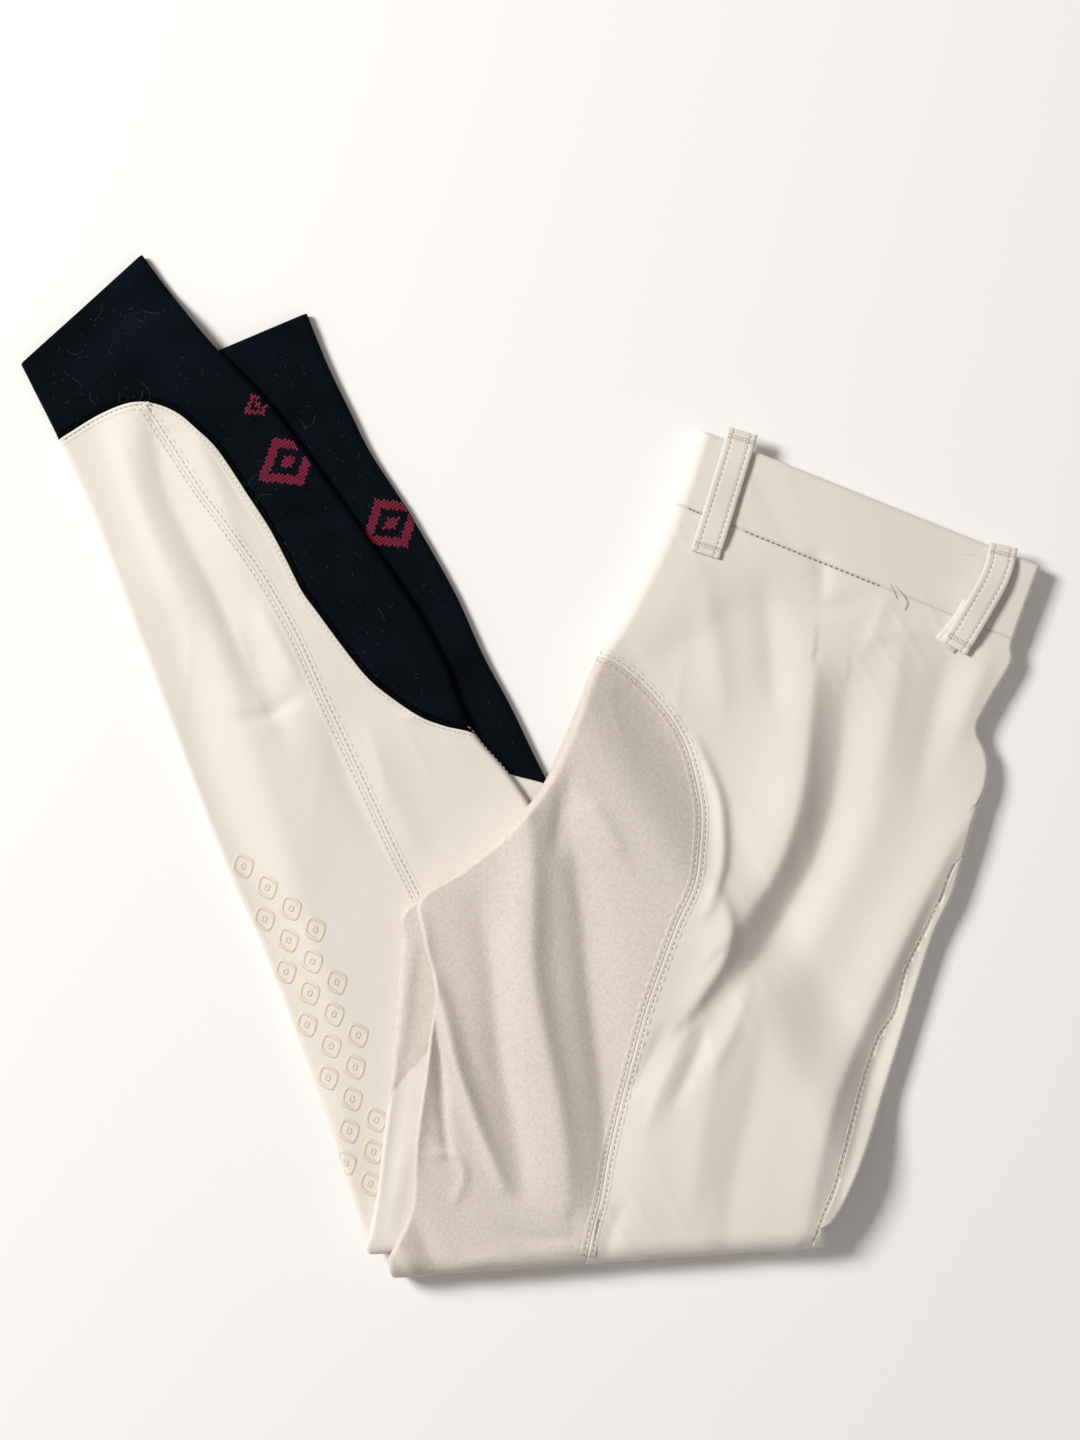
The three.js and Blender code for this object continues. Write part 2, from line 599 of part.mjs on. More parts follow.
// The other three bands of the folded waist, which show as edges at its mouth
const BAND_LAYERS = [
  { name: 'band_back_left', low: 0 },
  { name: 'band_front_left', low: 3.1 },
  { name: 'band_front_right', low: 6.4 },
];
const LAYER_ROWS = [0.04, 0.35, 0.65, 0.98];
const LAYER_COLUMNS = 8;
for (const { name, low } of BAND_LAYERS) {
  const face = (height) => (i, j) => {
    const cut = sectionAt(rightThigh, LAYER_ROWS[i]);
    const start = cut.edge + HIDDEN_SIDE_GAP;
    const along = lerp(start, cut.width - LEG_EDGE - HIDDEN_SIDE_GAP, j / LAYER_COLUMNS);
    return [cut.inner[0] + cut.across[0] * along, cut.inner[1] + cut.across[1] * along, low + height];
  };
  add(name, wallSolid(LAYER_ROWS.length - 1, LAYER_COLUMNS, face(BAND_WALL), face(0)), CREAM, 0.8);
}

// Belt loops: doubled straps sewn down at both ends and standing a little clear between
const BAND_TOP = THIGH_HEIGHT + BAND_RISE;
const LOOPS = [
  { name: 'belt_loop_back', width: 16, bulge: 1.6, path: [[112, 176], [102, 143], [92, 111]] },
  { name: 'belt_loop_side', width: 15, bulge: 3.4, path: [[249, 116], [246, 104], [240, 91], [223, 62]] },
];
const LOOP_ROWS = 12;
for (const loop of LOOPS) {
  const curve = new THREE.CatmullRomCurve3(loop.path.map(([x, y]) => new THREE.Vector3(x, y, 0)));
  const strap = (i, side, lift) => {
    const t = i / LOOP_ROWS;
    const centre = curve.getPoint(t);
    const along = curve.getTangent(t);
    const crown = loop.bulge * Math.sin(Math.PI * t) ** 0.8;
    const x = centre.x - along.y * side * (loop.width / 2);
    const y = centre.y + along.x * side * (loop.width / 2);
    return [x, y, BAND_TOP + SEAM_GAP + crown + lift];
  };
  const columns = 2;
  const side = (j) => 1 - (2 * j) / columns;
  const top = (i, j) => strap(i, side(j), LOOP_WALL);
  const bottom = (i, j) => strap(i, side(j), 0);
  add(loop.name, wallSolid(LOOP_ROWS, columns, top, bottom), CREAM, 0.8);
}

export default group;
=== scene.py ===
import bpy
import numpy as np
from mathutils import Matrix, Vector


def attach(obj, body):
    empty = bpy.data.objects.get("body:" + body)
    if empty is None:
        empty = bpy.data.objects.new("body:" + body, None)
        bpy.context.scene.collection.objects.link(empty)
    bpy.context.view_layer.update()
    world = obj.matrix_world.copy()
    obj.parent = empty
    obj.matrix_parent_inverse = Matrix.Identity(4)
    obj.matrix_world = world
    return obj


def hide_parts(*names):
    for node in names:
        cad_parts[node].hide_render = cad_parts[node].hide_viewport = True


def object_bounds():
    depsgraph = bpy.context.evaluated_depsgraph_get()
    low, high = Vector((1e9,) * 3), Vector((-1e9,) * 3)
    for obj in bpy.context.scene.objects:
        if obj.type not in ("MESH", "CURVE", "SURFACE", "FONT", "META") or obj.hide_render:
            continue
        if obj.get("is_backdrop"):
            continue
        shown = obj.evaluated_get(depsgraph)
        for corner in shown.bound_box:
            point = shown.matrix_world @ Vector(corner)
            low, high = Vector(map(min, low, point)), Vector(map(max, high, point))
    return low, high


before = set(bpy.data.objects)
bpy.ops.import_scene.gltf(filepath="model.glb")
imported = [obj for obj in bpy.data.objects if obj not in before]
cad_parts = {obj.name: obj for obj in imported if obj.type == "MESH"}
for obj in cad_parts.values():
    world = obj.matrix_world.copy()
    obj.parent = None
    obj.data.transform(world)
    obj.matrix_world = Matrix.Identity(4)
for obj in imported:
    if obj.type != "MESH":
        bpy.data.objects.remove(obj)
cad_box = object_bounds()

# Camera
# Straight above the folded breeches, as they were photographed, at arm's length.
MM = 0.001
VIEW_MIDDLE = (5.3, 23.6)
VIEW_LENGTH = 763.2
CAMERA_HEIGHT = 1600.0
SENSOR = 36.0

camera_data = bpy.data.cameras.new("camera")
camera_data.sensor_width = SENSOR
camera_data.lens = SENSOR * CAMERA_HEIGHT / VIEW_LENGTH
camera = bpy.data.objects.new("camera", camera_data)
camera.location = (VIEW_MIDDLE[0] * MM, VIEW_MIDDLE[1] * MM, CAMERA_HEIGHT * MM)
bpy.context.collection.objects.link(camera)
bpy.context.scene.camera = camera
bpy.context.scene.view_settings.view_transform = "Standard"


# Floor and studio light
# A matt pale floor, one broad soft light from the upper left and a weak fill from the other side.
def linear(hex_colour):
    """sRGB hex to linear red, green, blue and alpha."""
    values = [int(hex_colour[i:i + 2], 16) / 255 for i in (1, 3, 5)]
    return [v / 12.92 if v <= 0.04045 else ((v + 0.055) / 1.055) ** 2.4 for v in values] + [1.0]


def add_node(tree, kind, links=(), **settings):
    """A shader node with its settings, and links given as (input, node, output)."""
    node = tree.nodes.new(kind)
    for key, value in settings.items():
        if key in node.inputs.keys():
            node.inputs[key].default_value = value
        else:
            setattr(node, key, value)
    for target, source, output in links:
        tree.links.new(source.outputs[output], node.inputs[target])
    return node


def new_material(name):
    material = bpy.data.materials.new(name)
    material.use_nodes = True
    material.node_tree.nodes.clear()
    return material, material.node_tree


def finish_material(tree, shader):
    add_node(tree, "ShaderNodeOutputMaterial", links=[("Surface", shader, "BSDF")])


floor_paint, tree = new_material("matt_floor_paint")
floor_shader = add_node(tree, "ShaderNodeBsdfPrincipled", Roughness=0.9)
floor_shader.inputs["Base Color"].default_value = linear("#FAFAFA")
finish_material(tree, floor_shader)

FLOOR_HALF = 3.0
floor_mesh = bpy.data.meshes.new("floor")
corners = [(-FLOOR_HALF, -FLOOR_HALF, 0), (FLOOR_HALF, -FLOOR_HALF, 0)]
corners += [(FLOOR_HALF, FLOOR_HALF, 0), (-FLOOR_HALF, FLOOR_HALF, 0)]
floor_mesh.from_pydata(corners, [], [(0, 1, 2, 3)])
floor = bpy.data.objects.new("floor", floor_mesh)
floor.location.z = -0.0005
floor_mesh.materials.append(floor_paint)
bpy.context.collection.objects.link(floor)
floor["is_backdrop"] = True

LIGHTS = [
    {"name": "window", "place": (-2.6, 1.3, 2.65), "size": 1.1, "power": 158.0, "colour": "#FFFDF9"},
    {"name": "fill", "place": (1.6, -0.6, 2.4), "size": 2.4, "power": 4.0, "colour": "#FFF8F0"},
]
for light in LIGHTS:
    data = bpy.data.lights.new(light["name"], "AREA")
    data.size = light["size"]
    data.energy = light["power"]
    data.color = linear(light["colour"])[:3]
    lamp = bpy.data.objects.new(light["name"], data)
    lamp.location = light["place"]
    lamp.rotation_euler = (-Vector(light["place"])).to_track_quat("-Z", "Y").to_euler()
    bpy.context.collection.objects.link(lamp)

world = bpy.data.worlds.new("studio")
world.use_nodes = True
world.node_tree.nodes["Background"].inputs["Color"].default_value = linear("#F6F0EB")
world.node_tree.nodes["Background"].inputs["Strength"].default_value = 0.28
bpy.context.scene.world = world

# Right thigh
# The upper leg of the folded stack: a full-seat patch of grip leather, a back panel of smooth
# stretch cloth and the edge of the front panel, joined by topstitched seams and folded round the
# centre back, the inseam and the side.
CLOTH_WALL = 1.2
LEG_HEIGHT = 5.85
LEG_PITCH = 6.15
LEG_EDGE = LEG_HEIGHT / 2
SHIN_STACK = 2 * LEG_PITCH
THIGH_HEIGHT = LEG_PITCH + LEG_HEIGHT
BACK_EDGE = THIGH_HEIGHT / 2
FOLD_HEIGHT = (SHIN_STACK + THIGH_HEIGHT) / 2
EDGE_SHARE = 60.0
MIDDLE_Y = 0.55

# One row a section, waist to fold: inner x, inner y, outer x, outer y, radius of the inner fold
THIGH_SECTIONS = np.array([
    (90, 177, 269, 105, BACK_EDGE),
    (77, 138, 255, 66, BACK_EDGE),
    (66, 111, 254, 54, BACK_EDGE),
    (49, 78, 242, 33, BACK_EDGE),
    (33, 52, 236, 19, BACK_EDGE),
    (21, 22, 241, 5, BACK_EDGE),
    (6, -11, 241, -8, BACK_EDGE),
    (-16, -37, 235, -26, BACK_EDGE),
    (-38, -55, 229, -48, BACK_EDGE),
    (-58, -70, 223, -68, LEG_EDGE),
    (-56, -90, 213, -89, LEG_EDGE),
    (-50, -119, 203, -120, LEG_EDGE),
    (-55, -158, 192, -156, LEG_EDGE),
    (-60, -195, 179, -196, LEG_EDGE),
    (-62, -230, 165, -228, LEG_EDGE),
    (-70, -249, 159, -238, LEG_EDGE),
    (-74, -257, 154, -241, LEG_EDGE),
])
FOLD_ROW = len(THIGH_SECTIONS) - 1

SEAT_SEAM = [
    (20, 63), (31, 59), (45, 54), (59, 43), (73, 27), (82, 11), (87, -6), (90, -24), (89, -43),
    (86, -62), (77, -82), (68, -106), (60, -129), (53, -155), (47, -178), (41, -204), (37, -227),
    (32, -246), (26, -280),
]
SIDE_SEAM = [
    (242, -42), (225, -50), (216, -71), (207, -90), (198, -108), (193, -130), (184, -143),
    (175, -168), (165, -202), (160, -220), (153, -237), (138, -275),
]

# Folds of the cloth as it lies: height, how far each fades to its left and to its right, and its
# path. One side is steeper than the other, which gives the shaded edge.
THIGH_FOLDS = [
    (-5.8, 15, 10, [(167, 40), (165, 11), (161, -18), (153, -45), (141, -69), (126, -92), (107, -116),
        (92, -132)]),
    (6.4, 8, 18, [(149, 51), (146, 19), (142, -13), (135, -39), (124, -63), (103, -90)]),
    (1.4, 14, 16, [(192, 14), (180, -29), (162, -71), (143, -106)]),
    (3.4, 2.8, 5.0, [(87, 14), (96, -6), (101, -24), (101, -52), (93, -76)]),
    (3.6, 3.4, 9, [(99, -66), (105, -82), (102, -100), (91, -118), (81, -132)]),
    (-2.2, 10, 8, [(124, 92), (127, 61), (129, 32)]),
    (1.9, 8, 10, [(92, 93), (98, 61), (102, 29)]),
    (-1.8, 24, 14, [(132, 93), (109, 80), (85, 65), (66, 52)]),
    (0.7, 12, 14, [(90, 120), (75, 88), (64, 67)]),
    (-2.0, 10, 9, [(223, 61), (216, 40), (210, 14), (204, -13)]),
    (1.8, 7, 9, [(241, 56), (232, 35), (225, 14)]),
    (1.6, 7, 12, [(196, 67), (191, 35), (184, -2)]),
    (4.8, 7, 16, [(231, -26), (217, -50), (194, -95), (171, -145), (156, -183), (143, -244)]),
    (-2.6, 6, 6, [(212, -74), (192, -130), (179, -167), (167, -209), (159, -244)]),
    (-1.8, 12, 9, [(123, -130), (117, -172), (106, -220), (103, -257)]),
    (1.5, 8, 11, [(99, -145), (90, -188), (85, -230)]),
    (-1.6, 5, 4, [(93, -136), (85, -156), (75, -177)]),
    (-1.5, 5, 4, [(71, -136), (61, -156), (52, -172)]),
    (1.4, 6, 4, [(82, -140), (69, -167), (61, -188)]),
    (1.4, 4, 6, [(114, -116), (105, -140), (96, -157)]),
    (-1.2, 5, 5, [(49, -229), (42, -246), (39, -260)]),
    (-2.6, 7, 5, [(19, -8), (16, -25), (14, -45)]),
    (1.8, 4.5, 7, [(31, -18), (40, -32), (49, -46)]),
    (6.4, 8, 15, [(-3, -18), (1, -45), (1, -71), (1, -103), (6, -135), (13, -167), (18, -198), (20, -225)]),
    (-5.3, 17, 8, [(21, -24), (25, -55), (29, -92), (33, -130), (38, -167), (40, -204), (37, -228)]),
    (-3.8, 8, 8, [(-26, -74), (-20, -103), (-17, -135), (-14, -161), (-8, -191), (-3, -220)]),
    (2.8, 4, 5, [(-56, -79), (-53, -103), (-52, -127), (-54, -156), (-58, -188), (-65, -225)]),
    (5.4, 5.5, 3.0, [(-49, -111), (-44, -132), (-39, -154), (-33, -172), (-26, -191), (-14, -219)]),
    (-3.4, 2.6, 2.8, [(-50, -124), (-48, -145), (-46, -161), (-45, -183), (-42, -206)]),
    (1.6, 2.2, 2.8, [(-52, -203), (-42, -202), (-35, -208), (-35, -219), (-40, -228)]),
    (-2.0, 6, 5, [(-63, -230), (-55, -249), (-48, -263)]),
    (1.8, 5, 5, [(-70, -244), (-66, -256), (-59, -265)]),
    (1.4, 4, 5, [(-43, -263), (-21, -258), (0, -261)]),
    (-1.0, 4, 4, [(-16, -242), (5, -247), (24, -245)]),
    (-0.9, 6, 5, [(175, 88), (154, 82), (132, 88)]),
    (1.0, 5, 7, [(217, 67), (196, 71), (180, 67)]),
    (-1.4, 5, 6, [(149, 115), (154, 104), (153, 88)]),
    (0.8, 5, 4, [(188, 90), (183, 76), (176, 61)]),
]
SHIN_EDGE = {"from": (0, 18), "to": (153, -241), "lead": 24, "ramp": 45}
SHIN_RAMP = 30.0
SHIN_LEAD = 18.0
ANKLE_RAMP = 25.0


def ease(value):
    t = np.clip(value, 0.0, 1.0)
    return t * t * (3 - 2 * t)


def left_of(start, end, x, y):
    """Distance of plan points to the left of the line from start to end."""
    dx = end[0] - start[0]
    dy = end[1] - start[1]
    return (dx * (y - start[1]) - dy * (x - start[0])) / np.hypot(dx, dy)


def nearest(path, x, y):
    """How far off a path each plan point is, how far along it, 0 to 1, and 1 on its left or -1."""
    off = np.full(x.shape, np.inf)
    along = np.zeros(x.shape)
    side = np.ones(x.shape)
    spans = len(path) - 1
    for i in range(spans):
        ax, ay = path[i]
        dx = path[i + 1][0] - ax
        dy = path[i + 1][1] - ay
        t = np.clip(((x - ax) * dx + (y - ay) * dy) / (dx * dx + dy * dy), 0, 1)
        distance = np.hypot(x - ax - dx * t, y - ay - dy * t)
        closer = distance < off
        off = np.where(closer, distance, off)
        along = np.where(closer, (i + t) / spans, along)
        side = np.where(closer, np.sign(dx * (y - ay) - dy * (x - ax)), side)
    return off, along, side


def smooth_row(table, s):
    """Smooth curve through the rows of a table at fractional rows s."""
    last = len(table) - 1
    i = np.clip(np.floor(s).astype(int), 0, last - 1)
    t = (s - i)[..., None]
    a, b, c, d = (table[np.clip(i + k, 0, last)] for k in (-1, 0, 1, 2))
    return b + 0.5 * t * (c - a + t * (2 * a - 5 * b + 4 * c - d + t * (3 * (b - c) + d - a)))


def fine_path(path, steps=12):
    """The same path as a smooth curve with more points."""
    table = np.array(path, dtype=float)
    return smooth_row(table, np.linspace(0, len(path) - 1, (len(path) - 1) * steps + 1))


def fold_height(folds, x, y):
    height = np.zeros(x.shape)
    for depth, left_reach, right_reach, path in folds:
        xs, ys = zip(*path)
        far = 2.6 * max(left_reach, right_reach)
        near = (x > min(xs) - far) & (x < max(xs) + far) & (y > min(ys) - far) & (y < max(ys) + far)
        if not near.any():
            continue
        off, along, side = nearest(fine_path(path, 3), x[near], y[near])
        taper = np.sin(np.pi * (0.06 + 0.88 * along)) ** 0.7
        reach = np.where(side > 0, left_reach, right_reach) * (0.8 + 0.2 * taper)
        height[near] += depth * taper * np.exp(-np.abs(off / reach) ** 1.7)
    return height


def unevenness(x, y, height=0.28):
    """Slow swell of cloth that was never pressed flat, with a few soft small creases in it."""
    swell = np.sin(x / 23.0 + 1.3 * np.sin(y / 31.0)) * np.sin(y / 27.0 + 0.9 * np.sin(x / 37.0))
    wave = x / 7.5 + y / 19.0 + 2.2 * np.sin(y / 33.0 + x / 41.0)
    crease = (1 - np.abs(np.sin(wave))) ** 3
    crease *= np.clip(np.sin(x / 29.0 - y / 21.0 + 1.0) * np.sin(y / 43.0 + x / 61.0), 0, 1)
    ripple = 0.45 * np.sin(x / 9.7 + y / 14.3) * np.sin(y / 11.9 - x / 17.0)
    return height * (1.3 * swell + ripple + 1.6 * crease)


def under_thigh(x, y):
    inside = -left_of(SHIN_EDGE["from"], SHIN_EDGE["to"], x, y)
    return SHIN_STACK * ease((inside + SHIN_EDGE["lead"] + SHIN_EDGE["ramp"]) / SHIN_EDGE["ramp"])


def make_leg(sections, under, folds, outer_edge=LEG_EDGE, height=LEG_HEIGHT, fold_radius=0.0, swell=0.28):
    table = np.array(sections, dtype=float)
    if table.shape[1] == 4:
        table = np.hstack([table, np.full((len(table), 1), LEG_EDGE)])
    return {
        "table": table, "under": under, "folds": folds, "outer_edge": outer_edge,
        "height": height, "fold_radius": fold_radius, "swell": swell,
    }


def section_at(leg, s):
    """Sections across a leg at rows s. Past the last row, s turns through the fold's half circle."""
    table = leg["table"]
    last = len(table) - 1
    row = np.minimum(s, last)
    inner = smooth_row(table[:, 0:2], row)
    outer = smooth_row(table[:, 2:4], row)
    width = np.linalg.norm(outer - inner, axis=-1)
    across = (outer - inner) / width[..., None]
    i = np.minimum(np.floor(row).astype(int), last - 1)
    edge = table[i, 4] + (table[i + 1, 4] - table[i, 4]) * ease(row - i)
    return {
        "inner": inner, "across": across, "width": width, "edge": edge,
        "flat": width - edge - leg["outer_edge"], "turn": np.pi * np.maximum(0, s - last),
    }


def leg_points(leg, s, place, depth=0.0, rise=0.0, folds=None):
    """Points of a leg's cloth. place runs round each section: below 0 round the inner fold, 0 to
    flat over the top, then round the outer fold, back underneath and round the inner fold again."""
    cut = section_at(leg, s)
    edge, flat, outer = cut["edge"], cut["flat"], leg["outer_edge"]
    outer_end = flat + EDGE_SHARE
    under_end = outer_end + flat
    inner_angle = np.pi * (0.5 - place / EDGE_SHARE)
    outer_angle = np.pi * (0.5 - (place - flat) / EDGE_SHARE)
    last_angle = -np.pi * (0.5 + (place - under_end) / EDGE_SHARE)
    zones = [place < 0, place <= flat, place <= outer_end, place <= under_end]
    along = np.select(zones, [
        edge + (edge - depth) * np.cos(inner_angle),
        edge + place,
        cut["width"] - outer + (outer - depth) * np.cos(outer_angle),
        cut["width"] - outer - (place - outer_end),
    ], edge + (edge - depth) * np.cos(last_angle))
    drop = np.select(zones, [
        edge - (edge - depth) * np.sin(inner_angle),
        depth + 0 * place,
        outer - (outer - depth) * np.sin(outer_angle),
        2 * outer - depth + 0 * place,
    ], edge - (edge - depth) * np.sin(last_angle))
    face_drop = np.select(zones, [
        edge - edge * np.sin(inner_angle),
        0 * place,
        outer - outer * np.sin(outer_angle),
        2 * outer + 0 * place,
    ], edge - edge * np.sin(last_angle))
    x = cut["inner"][..., 0] + cut["across"][..., 0] * along
    y = cut["inner"][..., 1] + cut["across"][..., 1] * along
    share = 1 - np.clip(face_drop / LEG_HEIGHT, 0, 1)
    if folds is None:
        folds = fold_height(leg["folds"], x, y) + unevenness(x, y, leg["swell"])
    relief = (folds + rise) * share
    turn = cut["turn"]
    z = leg["under"](x, y) + leg["height"] + relief - drop
    radius = leg["fold_radius"] + relief * np.cos(turn / 2) ** 2 - drop
    out = radius * np.sin(turn)
    folded = turn > 0
    x = np.where(folded, x + cut["across"][..., 1] * out, x)
    y = np.where(folded, y - cut["across"][..., 0] * out, y)
    z = np.where(folded, FOLD_HEIGHT + radius * np.cos(turn), z)
    return np.stack([x, y - MIDDLE_Y, z], axis=-1)


def rows_between(leg, start, end, step):
    """Rows about step apart along the leg's longer edge, then round the fold."""
    last = len(leg["table"]) - 1
    fine = np.linspace(start, min(end, last), 2000)
    cut = section_at(leg, fine)
    outer = cut["inner"] + cut["across"] * cut["width"][:, None]
    moved = [np.linalg.norm(np.diff(edge, axis=0), axis=1) for edge in (cut["inner"], outer)]
    length = np.concatenate([[0], np.cumsum(np.maximum(*moved))])
    count = max(2, int(length[-1] / step))
    rows = np.interp(np.linspace(0, length[-1], count + 1), length, fine)
    if end > last:
        turns = max(6, int(np.pi * leg["fold_radius"] / step))
        rows = np.concatenate([rows, last + np.arange(1, turns + 1) / turns])
    return rows


def locate(leg, x, y):
    """Row and place on a leg's upper side of plan points."""
    table = leg["table"]
    last = len(table) - 1
    low = np.zeros(x.shape)
    high = np.full(x.shape, float(last))

    def above(cut):
        ahead = cut["across"][..., 0] * (y - cut["inner"][..., 1])
        return ahead - cut["across"][..., 1] * (x - cut["inner"][..., 0])

    for _ in range(22):
        middle = (low + high) / 2
        is_above = above(section_at(leg, middle)) > 0
        high = np.where(is_above, middle, high)
        low = np.where(is_above, low, middle)
    s = (low + high) / 2
    end = section_at(leg, np.full(x.shape, float(last)))
    out = -above(end)
    turned = np.arcsin(np.clip(out / max(leg["fold_radius"], 0.001), 0, 1)) / np.pi
    s = np.where(out > 0, last + turned * (leg["fold_radius"] > 0), s)
    cut = section_at(leg, s)
    inner, across = cut["inner"], cut["across"]
    along = (x - inner[..., 0]) * across[..., 0] + (y - inner[..., 1]) * across[..., 1]
    edge, outer = cut["edge"], max(leg["outer_edge"], 0.001)
    inner_angle = np.arccos(np.clip((along - edge) / edge, -1, 0))
    outer_angle = np.arccos(np.clip((along - cut["width"] + outer) / outer, 0, 1))
    place = np.where(along < edge, EDGE_SHARE * (0.5 - inner_angle / np.pi), along - edge)
    outer_place = cut["flat"] + EDGE_SHARE * (0.5 - outer_angle / np.pi)
    return s, np.where(along > edge + cut["flat"], outer_place, place)


def on_cloth(leg):
    """The upper side of a leg as a surface: a function of plan points and a lift above the cloth."""
    def surface(x, y, lift):
        s, place = locate(leg, x, y)
        return leg_points(leg, s, place, -lift)
    return surface


def seam_side(path, x, y):
    """Distance from a seam in plan, positive on its left, and how far along it, in millimetres."""
    off, along, side = nearest(path, x, y)
    return off * side, along * np.linalg.norm(np.diff(path, axis=0), axis=1).sum()


def cut_along(params, faces, distance):
    """Faces cut along the line where distance is 0, keeping the positive side."""
    distance = np.where(np.abs(distance) < 0.15, 0.0, distance)
    keep = distance >= 0
    kept, added, made = [], [], {}
    for face in faces:
        inside = keep[list(face)]
        if inside.all():
            kept.append(face)
            continue
        if not inside.any():
            continue
        corners = []
        for a, b in zip(face, face[1:] + face[:1]):
            if keep[a]:
                corners.append(a)
            if distance[a] * distance[b] < 0:
                key = (min(a, b), max(a, b))
                if key not in made:
                    t = distance[a] / (distance[a] - distance[b])
                    made[key] = len(params) + len(added)
                    added.append(params[a] + (params[b] - params[a]) * t)
                corners.append(made[key])
        if len(corners) > 2:
            kept.append(tuple(corners))
    return np.vstack([params, added]) if added else params, kept


def grid_faces(rows, columns):
    i, j = np.meshgrid(np.arange(rows), np.arange(columns), indexing="ij")
    a = (i * (columns + 1) + j).ravel()
    return [tuple(f) for f in np.stack([a, a + columns + 1, a + columns + 2, a + 1], axis=1).tolist()]


def closed_shell(outer, inner, faces):
    """Closed shell over faces, from the outer and inner place of every point used."""
    used = np.unique([v for face in faces for v in face])
    index = np.zeros(len(outer), dtype=int)
    index[used] = np.arange(len(used))
    count = len(used)
    top = [tuple(index[list(face)].tolist()) for face in faces]
    edges = {(a, b) for face in top for a, b in zip(face, face[1:] + face[:1])}
    rims = [(b, a, a + count, b + count) for a, b in edges if (b, a) not in edges]
    under = [tuple(v + count for v in reversed(face)) for face in top]
    return np.concatenate([outer[used], inner[used]]), top + under + sorted(rims), used


def merge(shapes):
    """One list of points and one of faces from several."""
    points, faces, start = [], [], 0
    for shape_points, shape_faces in shapes:
        points.append(shape_points)
        faces.extend(tuple(v + start for v in face) for face in shape_faces)
        start += len(shape_points)
    return np.concatenate(points), faces


def new_object(name, points, faces, material):
    mesh = bpy.data.meshes.new(name)
    mesh.from_pydata((np.asarray(points) * MM).tolist(), [], faces)
    mesh.materials.append(material)
    mesh.polygons.foreach_set("use_smooth", [True] * len(mesh.polygons))
    piece = bpy.data.objects.new(name, mesh)
    bpy.context.collection.objects.link(piece)
    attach(piece, "root")
    return piece


def run_length(points):
    """Distance along a line of points at each of them."""
    return np.concatenate([[0], np.cumsum(np.linalg.norm(np.diff(points, axis=0), axis=1))])


def plan_path(path, step=0.9):
    """A seam's line as a smooth path with points step apart."""
    fine = fine_path(path)
    length = run_length(fine)
    at = np.linspace(0, length[-1], max(2, int(length[-1] / step)) + 1)
    return np.stack([np.interp(at, length, fine[:, k]) for k in (0, 1)], axis=1)


def part_of(path, start, end):
    """The part of a plan path from start to end, in millimetres along it. An end of 0 or less
    counts back from the path's own end."""
    length = run_length(path)
    return path[(length >= start) & (length <= (end if end > 0 else length[-1] + end))]


def path_sides(path):
    """Unit vectors to the left of a path at each of its points."""
    along = np.gradient(path, axis=0)
    along /= np.linalg.norm(along, axis=1)[:, None]
    return np.stack([-along[:, 1], along[:, 0]], axis=1)


def laid_strip(surface, path, offsets, lifts, base=-0.35):
    """A strip that lies along a path on a surface, with its own height at each offset to the side."""
    left = path_sides(path)
    spots = path[:, None, :] + left[:, None, :] * np.asarray(offsets)[None, :, None]
    lift = np.asarray(lifts)[None, :] + np.zeros(spots.shape[:2])
    outer = surface(spots[..., 0], spots[..., 1], lift).reshape(-1, 3)
    inner = surface(spots[..., 0], spots[..., 1], lift * 0 + base).reshape(-1, 3)
    points, faces, _ = closed_shell(outer, inner, grid_faces(len(path) - 1, len(offsets) - 1))
    return points, faces


def stitch_row(surface, path, offset, pitch=3.2, length=2.5, thick=0.2, lift=0.08):
    """A row of stitches beside a path: short threads that rise out of the cloth and go back in."""
    line = path + path_sides(path) * offset
    run = run_length(line)
    centres = np.arange(pitch / 2, run[-1], pitch)
    t = np.linspace(-0.5, 0.5, 5)
    at = centres[:, None] + t[None, :] * length
    x, y = (np.interp(at, run, line[:, k]) for k in (0, 1))
    rise = lift + 0.24 * np.cos(np.pi * t)[None, :] + 0 * x
    middle = surface(x, y, rise)
    out = surface(x, y, rise + 1) - middle
    along = np.gradient(middle, axis=1)
    side = np.cross(along, out)
    side /= np.linalg.norm(side, axis=-1)[..., None]
    out /= np.linalg.norm(out, axis=-1)[..., None]
    radius = thick * np.sqrt(1.02 - (2 * t) ** 2)
    angles = np.arange(6) * np.pi / 3
    ring = np.cos(angles)[:, None] * side[:, :, None, :] + np.sin(angles)[:, None] * out[:, :, None, :]
    points = middle[:, :, None, :] + ring * radius[None, :, None, None]
    one = []
    for a in range(0, 24, 6):
        one += [(a + k, a + (k + 1) % 6, a + 6 + (k + 1) % 6, a + 6 + k) for k in range(6)]
    one += [(5, 4, 3, 2, 1, 0), (24, 25, 26, 27, 28, 29)]
    faces = [tuple(v + 30 * n for v in face) for n in range(len(centres)) for face in one]
    return points.reshape(-1, 3), faces


SEAM_CLEARANCE = 0.05


